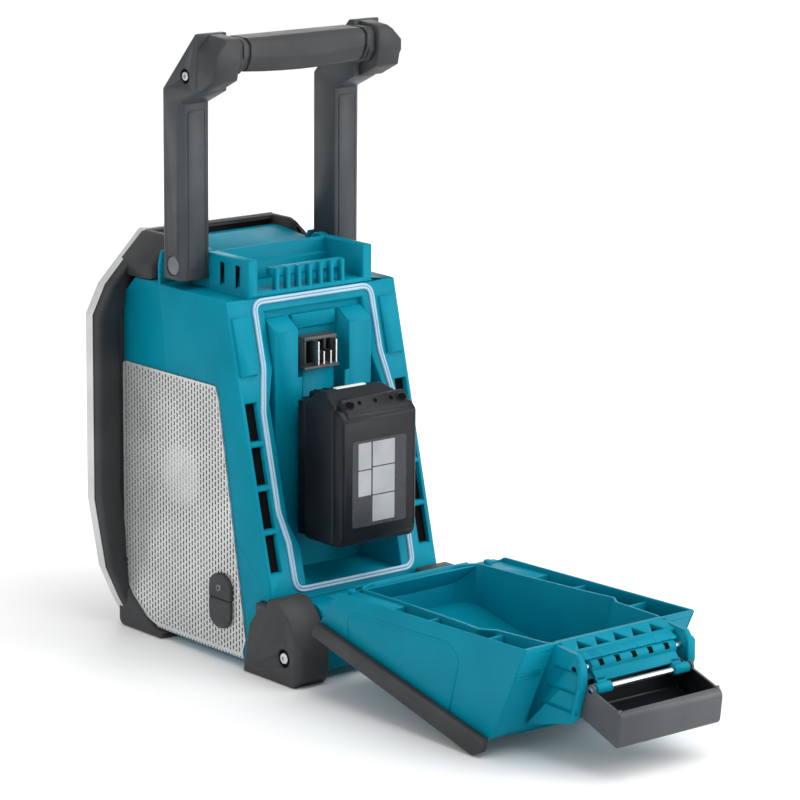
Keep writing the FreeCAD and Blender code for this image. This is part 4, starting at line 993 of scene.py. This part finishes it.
# Battery pack
# The slide-on tool battery: a black case in two halves, with vents and holes in its
# sloped upper lip, a pale strip on the shoulder and a blank label.
VENT_X, VENT_PART, VENT_SQUASH = (-26.6, 26.6), 0.40, 0.72
HOLE_X, HOLE_PART, LIP_FACING = (-16, 0, 16), 0.34, Vector((0, 12.6, 8.9)).normalized()
LABEL_PANELS = (
    (-15, 166, 7.5, 186), (-15, 143, 7.5, 165), (-15, 121, 7.5, 142), (9, 164.5, 22, 186),
    (9, 143, 22, 163.5))


def box(low_u, low_v, high_u, high_v):
    return [(low_u, low_v), (high_u, low_v), (high_u, high_v), (low_u, high_v)]


def pack_ring(z, half, low_y, high_y):
    """Level section of the pack's case, with its corners rounded."""
    return [at(x, y, z) for x, y in rounded_outline(box(-half, low_y, half, high_y), 3, 4)]


def on_lip(x, part):
    """A point on the cover's sloped lip, part of the way from its top edge to its rear edge."""
    return (x, 128.6 + 8.9 * part, 221.6 - 12.6 * part)


def oval(profile):
    """A turned item squashed into an oval."""
    item = turned(profile, 24)
    for corner in item.vertices:
        corner.co.y *= VENT_SQUASH
    return item


strip_white = moulded("pale_strip", (0.72, 0.72, 0.70), (0.80, 0.80, 0.78), 0.5)
label_grey = moulded("label_film", (0.30, 0.31, 0.32), (0.42, 0.43, 0.44), 0.35, 400, 0.00001)
label_dark = moulded(
    "label_border", (0.030, 0.032, 0.036), (0.044, 0.047, 0.052), 0.25, 400, 0.00001)
case = skin([pack_ring(*level) for level in (
    (102.0, 35.5, 91.5, 125.0), (103.2, 37.4, 89.6, 126.4), (106, 38.2, 89, 126.6),
    (211, 38.2, 89, 126.6), (213.4, 38.0, 89.2, 126.5), (215.5, 36.4, 90.4, 125.5),
    (221.6, 31, 95.4, 108), (222.6, 30, 96.4, 107), (222.9, 29.0, 97.4, 106))])
as_piece("pack_case", bevelled(case, 0.8, 2, 40),
         "battery", pack_black, "pack", "battery_case")
cover = bars(("x", -38.4, 38.4, [
    (125, 102), (131, 102), (136, 104.5), (138.0, 109.5), (138.0, 206.5), (132, 213),
    (125, 213)]))
lip = bars(("x", -32.6, 32.6, [
    (121.5, 213), (125.2, 221.2), (128.6, 221.6), (137.5, 209), (137.4, 203), (121.5, 203)]))
rails = bars(
    ("z", 106, 209.6, box(-21, 61.6, 21, 78)), ("z", 106, 209.6, box(-25.6, 60.6, 25.6, 64.6)),
    ("z", 103, 212.4, box(-33.8, 76, 33.8, 90)),
    *(("y", 124, 138.3, box(side * 34.4, 112, side * 36.4, 203)) for _, side in SIDES))
connector = bars(("x", -20, 20, [
    (72.7, 206), (72.7, 216), (74, 217.4), (86, 217.4), (92, 212), (92, 206)]))
vent = oval([(5.6, -3), (5.6, 0.3), (5.0, 0.8), (4.3, 0.6), (3.9, -2.0), (0, -2.0)])
vent_places = [on_lip(x, VENT_PART) for x in VENT_X]
for name, mesh, nodes in (
        ("pack_cover", bevelled(cover, 3.4, 5), ("battery_cover",)),
        ("pack_lip", bevelled(lip, 1.9, 4), ()),
        ("pack_rails", bevelled(rails, 0.9), ()),
        ("pack_vents", set_out(vent, vent_places, [LIP_FACING]), ()),
        ("pack_connector", bevelled(connector, 0.8), ("battery_connector",))):
    as_piece(name, mesh, "battery", pack_black, "pack", *nodes)
# The vent holes, small holes, edge holes and contact slots are dark discs and plates laid on the
# case: painted shade inside them.
vent_hole = oval([(4.2, -1.2), (4.2, 0.6), (0, 0.6)])
small_hole = turned([(1.9, -0.8), (1.9, 0.14), (0, 0.14)], 14)
edge_hole = turned([(1.1, -0.8), (1.1, 0.25), (0, 0.25)], 12)
edge_places = [(side * 37.1, 136.6, z) for _, side in SIDES for z in (115, 150, 184)]
edge_ways = [Vector((side, 1, 0)).normalized() for _, side in SIDES for _ in range(3)]
contact_slots = bars(*(
    ("z", 214, 217.6, box(9.6 * (number - 1.5) - 1.1, 72.9, 9.6 * (number - 1.5) + 1.1, 84))
    for number in range(4)))
for name, mesh in (
        ("pack_vent_holes", set_out(vent_hole, vent_places, [LIP_FACING])),
        ("pack_small_holes", set_out(
            small_hole, [on_lip(x, HOLE_PART) for x in HOLE_X], [LIP_FACING])),
        ("pack_edge_holes", set_out(edge_hole, edge_places, edge_ways)),
        ("pack_contact_slots", contact_slots)):
    as_piece(name, mesh, "battery", recess_shade, "pack")
strip = bars(("x", -15, 15, [(97, 222), (97, 223.6), (101.6, 223.8), (102.2, 222.2)]))
as_piece("pack_strip", bevelled(strip, 0.3), "battery", strip_white, "pack")
as_piece("pack_label", bars(("y", 137.8, 138.16, rounded_outline(
    box(-27, 118, 28, 188), 2.5, 4))), "battery", label_dark, "pack")
as_piece("pack_label_panels", bars(*(
    ("y", 138.0, 138.3, rounded_outline(box(*panel), 0.6, 2)) for panel in LABEL_PANELS)),
    "battery", label_grey, "pack")
as_piece("pack_button", rounded("battery_button", 0.5),
         "battery_button", pack_black, "pack", "battery_button")


# Terminals
# The grey plastic block that the pack slides onto, framed and set on a ledge, with
# four plated blades standing out of it.
block = bars(
    ("y", 50, 59.9, box(-16.4, 232.1, 16.4, 257.9)),
    *(("y", 59, 62.4, box(x, 236, x + 1.6, 257.5)) for x in (-16.0, -5.7, 5.7, 14.5)),
    ("y", 58, 62.6, box(-16.6, 254.8, 16.6, 257.9)),
    ("x", -17.6, 17.6, box(52, 231.6, 64.5, 234.4)))
as_piece("terminal_housing", bevelled(block, 0.5), "radio", slate, "dark", "terminal_block")
as_piece("terminal_shadow", bars(("y", 59.8, 60.1, box(-14.3, 236.2, 14.4, 254.6))),
         "radio", recess_shade, "dark")


# Handle
# Two grey glass-filled plastic arms turn on steel pins beside the trough. Each bends
# back at the top to carry a rubber grip that sags a little in the middle, with end caps.
ARM_STATIONS = [((-28, 302.5), (0, 302.5)), ((-28, 445), (0, 445)), ((-28, 455), (24, 456.5)),
                ((17.5, 502.6), (24, 502.6))]
ARM_IN, ARM_CUT_X, ARM_OUT, ARM_CUT = 64, 87, 92, 5.0
PIVOT_PLACE, HANDLE_SCREW = (-12, 314), (6, 468)
GRIP_LOW, GRIP_SAG, GRIP_HALF, GROOVE = 468.6, 3.0, 64, 1.5
WAYS_OUT = [Vector((side, 0, 0)) for _, side in SIDES]


def arm_ring(front, rear, side):
    """Section of an arm between a front and a rear point, with its outer corners cut off."""
    front, rear = Vector(front), Vector(rear)
    cut = min(ARM_CUT / (rear - front).length, 0.3)
    ring = []
    for x, part in ((ARM_IN, 0), (ARM_CUT_X, 0), (ARM_OUT, cut), (ARM_OUT, 1 - cut),
                    (ARM_CUT_X, 1), (ARM_IN, 1)):
        point = front.lerp(rear, part)
        ring.append(at(side * x, point.x, point.y))
    return ring


def grip_ring(x, inset):
    """Section of the grip at x, lower in the middle of its length."""
    low = GRIP_LOW + GRIP_SAG * (x / GRIP_HALF) ** 2 + inset
    outline = rounded_outline(
        [(13 + inset, low + 6), (24, low), (40, low + 1.5), (46 - inset, low + 13),
         (46 - inset, 495 - inset), (40, 499 - inset), (18, 499 - inset),
         (13 + inset, 493 - inset)],
        [4, 6, 6, 5, 4, 5, 5, 4], 3)
    return [at(x, y, z) for y, z in outline]


def screw_head(radius):
    """A pan head with a round socket sunk in it."""
    return turned([(radius, -1.0), (radius, 0.3), (radius * 0.9, 0.8), (radius * 0.5, 1.05),
                   (radius * 0.42, 1.0), (radius * 0.38, -0.2), (0, -0.2)], 18)


def screw_well(radius):
    """A dark disc on the floor of a screw's round recess: painted shade."""
    return turned([(radius, -0.6), (radius, 0.15), (0, 0.15)], 28)


arm_grey = moulded(
    "arm_plastic", (0.040, 0.045, 0.049), (0.054, 0.060, 0.065), 0.44, shine=0.28)
steel = moulded(
    "bright_steel", (0.55, 0.56, 0.58), (0.68, 0.69, 0.70), 0.28, 900, 0.00002, metal=1.0)
for word, side in SIDES:
    work = bmesh.new()
    add_skin(work, [arm_ring(front, rear, side) for front, rear in ARM_STATIONS])
    add_bar(work, "x", side * 68, side * 85, [(-1, 309), (0.7, 311), (0.7, 438), (-1, 441)])
    bores = bars(("x", side * 88.4, side * 95, circle(*PIVOT_PLACE, 8.2, 28)),
                 ("x", side * 90.3, side * 95, circle(*HANDLE_SCREW, 6.2, 28)))
    arm = hollowed(bevelled(to_mesh(work), 1.3, 3), bores)
    as_piece("handle_arm_%s_made" % word, smoothed(arm),
             "handle", arm_grey, "dark", "handle_arm_" + word)
    as_piece("grip_cap_%s_made" % word, rounded("grip_cap_" + word, 1.1, 3),
             "handle", rubber, "rubber", "grip_cap_" + word)
grip = skin([grip_ring(x, inset) for x, inset in (
    (-GRIP_HALF, 0), (-60.2, 0), (-59.8, GROOVE), (-57.2, GROOVE), (-56.8, 0), (-40, 0), (-20, 0),
    (0, 0), (20, 0), (40, 0), (56.8, 0), (57.2, GROOVE), (59.8, GROOVE), (60.2, 0),
    (GRIP_HALF, 0))])
as_piece("handle_grip_made", smoothed(grip, 30), "handle", rubber, "rubber", "handle_grip")
collar = rounded_outline(
    [(24.3, 467.5), (40, 471.5), (45, 480), (45, 495), (40, 498.6), (24.3, 498.6)],
    [1, 4, 4, 4, 4, 1], 3)
collars = bars(*(("x", side * 63, side * 69.8, collar) for _, side in SIDES))
as_piece("grip_collars", bevelled(collars, 0.5), "handle", rubber, "rubber")
as_piece("handle_screw_heads",
         set_out(screw_head(3.7), [(side * 91.2, *HANDLE_SCREW) for _, side in SIDES], WAYS_OUT),
         "handle", steel, "steel", "handle_screws")
as_piece("handle_screw_wells",
         set_out(screw_well(6.0), [(side * 90.3, *HANDLE_SCREW) for _, side in SIDES], WAYS_OUT),
         "handle", recess_shade, "dark")


# Rear feet and port cover
# Black rubber-like feet wrap the corners of the base, each with a screw sunk in a round
# recess. The port cover is a screwed upper half and a lower half that bends open.
FOOT_SCREW, PORT_SCREW = (132, 22), (91.1, 47, 61)
zinc = moulded(
    "dull_zinc", (0.16, 0.165, 0.17), (0.24, 0.245, 0.25), 0.42, 900, 0.00003, metal=0.8)
for word, side in SIDES:
    bore = bars(("x", side * 90.2, side * 96, circle(*FOOT_SCREW, 7.6, 28)))
    foot = hollowed(rounded("rear_foot_" + word, 1.5, 3), bore)
    as_piece("rear_foot_%s_made" % word, smoothed(foot),
             "radio", rubber, "rubber", "rear_foot_" + word)
as_piece("foot_screw_wells",
         set_out(screw_well(7.4), [(side * 90.2, *FOOT_SCREW) for _, side in SIDES], WAYS_OUT),
         "radio", recess_shade, "dark")
as_piece("foot_screw_heads",
         set_out(screw_head(4.5), [(side * 91.2, *FOOT_SCREW) for _, side in SIDES], WAYS_OUT),
         "radio", steel, "steel", "foot_screws")
for node, body in (("port_frame", "radio"), ("port_flap", "port_flap")):
    as_piece(node + "_made", rounded(node, 0.9, 3), body, rubber, "rubber", node)
as_piece("port_screw_head", set_out(screw_head(3), [PORT_SCREW], [Vector((1, 0, 0))]),
         "radio", zinc, "steel", "port_screw")


# Controls
# A dark panel over the front grille holds a display behind a clear window, a power
# button, a tuning knob with grip ribs and six preset buttons, all moulded plastic.
DISPLAY, KNOB_PLACE, POWER_PLACE = (-30, 240, 30, 280), (55, 258), (-55, 258)
PRESETS = [(number + 1, 22 * (number - 2.5)) for number in range(6)]
FORWARD, DENT_OFF, RIB_COUNT, RIB_RING, RIB_Y = Vector((0, -1, 0)), 0.0085, 32, 14.3, -98.6


def add_raised_ring(work, outline, wide, high_y):
    """A raised edging round an opening in the panel, from (x, z) points."""
    middle_x, middle_z = (sum(places) / len(outline) for places in zip(*outline))
    rings = []
    for x, z in outline:
        out_x, out_z = x + math.copysign(wide, x - middle_x), z + math.copysign(wide, z - middle_z)
        rings.append([at(x, -96.5, z), at(x, high_y, z),
                      at(out_x, high_y, out_z), at(out_x, -96.5, out_z)])
    add_skin(work, rings, looped=True)


graphite = moulded("graphite_plastic", (0.036, 0.040, 0.044), (0.050, 0.055, 0.060), 0.44)
plate = bars(("y", -97, -91, [
    (-80, 210), (80, 210), (80, 284), (70, 292), (-70, 292), (-80, 284)]))
openings = bars(
    ("y", -99, -93, box(*DISPLAY)), ("y", -99, -90, circle(*KNOB_PLACE, 4.2)),
    ("y", -99, -90, circle(*POWER_PLACE, 8.0, 28)),
    *(("y", -99, -90, box(x - 8, 217.5, x + 8, 226.5)) for _, x in PRESETS))
panel = hollowed(bevelled(plate, 1.5, 3), openings)
as_piece("control_panel_made", smoothed(panel), "radio", graphite, "dark", "control_panel")
work = bmesh.new()
add_raised_ring(work, box(*DISPLAY), 2.2, -97.9)
for _, x in PRESETS:
    add_raised_ring(work, box(x - 8.2, 217.3, x + 8.2, 226.7), 0.9, -97.4)
as_piece("panel_edging", bevelled(to_mesh(work), 0.25), "radio", slate, "dark")
knob = turned([(4, 0.4), (14.2, 0.4), (14.6, 1.2), (14.2, 15.6), (13.0, 17.4), (12.2, 17.7),
               (11.2, 17.3), (0, 16.9)], 48)
dent = turned([(2.6, 16), (2.6, 22), (0, 22)])
for corner in dent.vertices:
    corner.co.y -= DENT_OFF
knob = smoothed(hollowed(knob, dent))
as_piece("tuning_knob_made", set_out(knob, [(KNOB_PLACE[0], -90.6, KNOB_PLACE[1])], [FORWARD]),
         "tuning_knob", slate, "dark", "tuning_knob")
section = [(-0.7, 6.4, -0.4), (0.7, 6.4, -0.4), (0.45, 6.2, 0.7), (-0.45, 6.2, 0.7)]
rib = skin([[Vector((x, end * half, z)) * MM for x, half, z in section] for end in (-1, 1)])
ways = []
for number in range(RIB_COUNT):
    angle = 2 * math.pi * number / RIB_COUNT
    ways.append(Vector((math.cos(angle), 0, math.sin(angle))))
places = [(KNOB_PLACE[0] + way.x * RIB_RING, RIB_Y, KNOB_PLACE[1] + way.z * RIB_RING)
          for way in ways]
as_piece("knob_grip_ribs", set_out(rib, places, ways), "tuning_knob", slate, "dark")
button = turned([(7.5, 0), (7.5, 5.6), (6.9, 6.4), (5.6, 6.4), (5.0, 5.9), (0, 5.7)], 36)
as_piece("power_button_made",
         set_out(button, [(POWER_PLACE[0], -92.8, POWER_PLACE[1])], [FORWARD]),
         "power_button", slate, "dark", "power_button")
for number, x in PRESETS:
    node = "preset_button_%d" % number
    cap = bars(("y", -99.2, -92.8, rounded_outline(box(x - 7.5, 218, x + 7.5, 226), 1.6, 3)),
               ("y", -99.7, -99, rounded_outline(box(x - 3.5, 221.4, x + 3.5, 222.6), 0.5, 3)))
    as_piece(node + "_made", bevelled(cap, 0.3), node, slate, "dark", node)


# Works
# Speakers, board, cells, pins and blades keep the plain shapes of the solids, which
# are turned or stamped parts, and take their own finishes. So does the display.
WINDOW_ALPHA = 0.35
glass = moulded("clear_window", (0.10, 0.12, 0.13), (0.12, 0.14, 0.15), 0.06, 300, 0.000005, 0.5)
glass.node_tree.nodes["Principled BSDF"].inputs["Alpha"].default_value = WINDOW_ALPHA
crystal = moulded(
    "liquid_crystal", (0.22, 0.30, 0.27), (0.27, 0.36, 0.32), 0.30, 4200, 0.00001)
cone_paper = moulded("pressed_cone", (0.50, 0.51, 0.52), (0.60, 0.61, 0.62), 0.7, 700, 0.0001)
solder_mask = moulded(
    "solder_mask", (0.015, 0.15, 0.065), (0.022, 0.19, 0.085), 0.35, 1200, 0.00003)
sleeve = moulded("shrink_sleeve", (0.09, 0.28, 0.24), (0.13, 0.36, 0.31), 0.3, 500, 0.00004)
black_iron = moulded(
    "blackened_iron", (0.045, 0.045, 0.05), (0.065, 0.065, 0.07), 0.5, 900, 0.00005)
finishes = {
    "teal": teal, "dark": graphite, "rubber": rubber, "silver": silver, "steel": steel,
    "seal": seal_rubber, "pack": pack_black, "board": solder_mask, "cell": sleeve,
    "cone": cone_paper, "lens": glass, "screen": crystal, "magnet": black_iron}
for part in frame["record"]["subparts"]:
    item = frame["nodes"][part["node"]]
    if not item.hide_render:
        dull = part["node"].startswith("pivot_pin")
        item.data.materials.clear()
        item.data.materials.append(zinc if dull else finishes[part["material_slot"]])
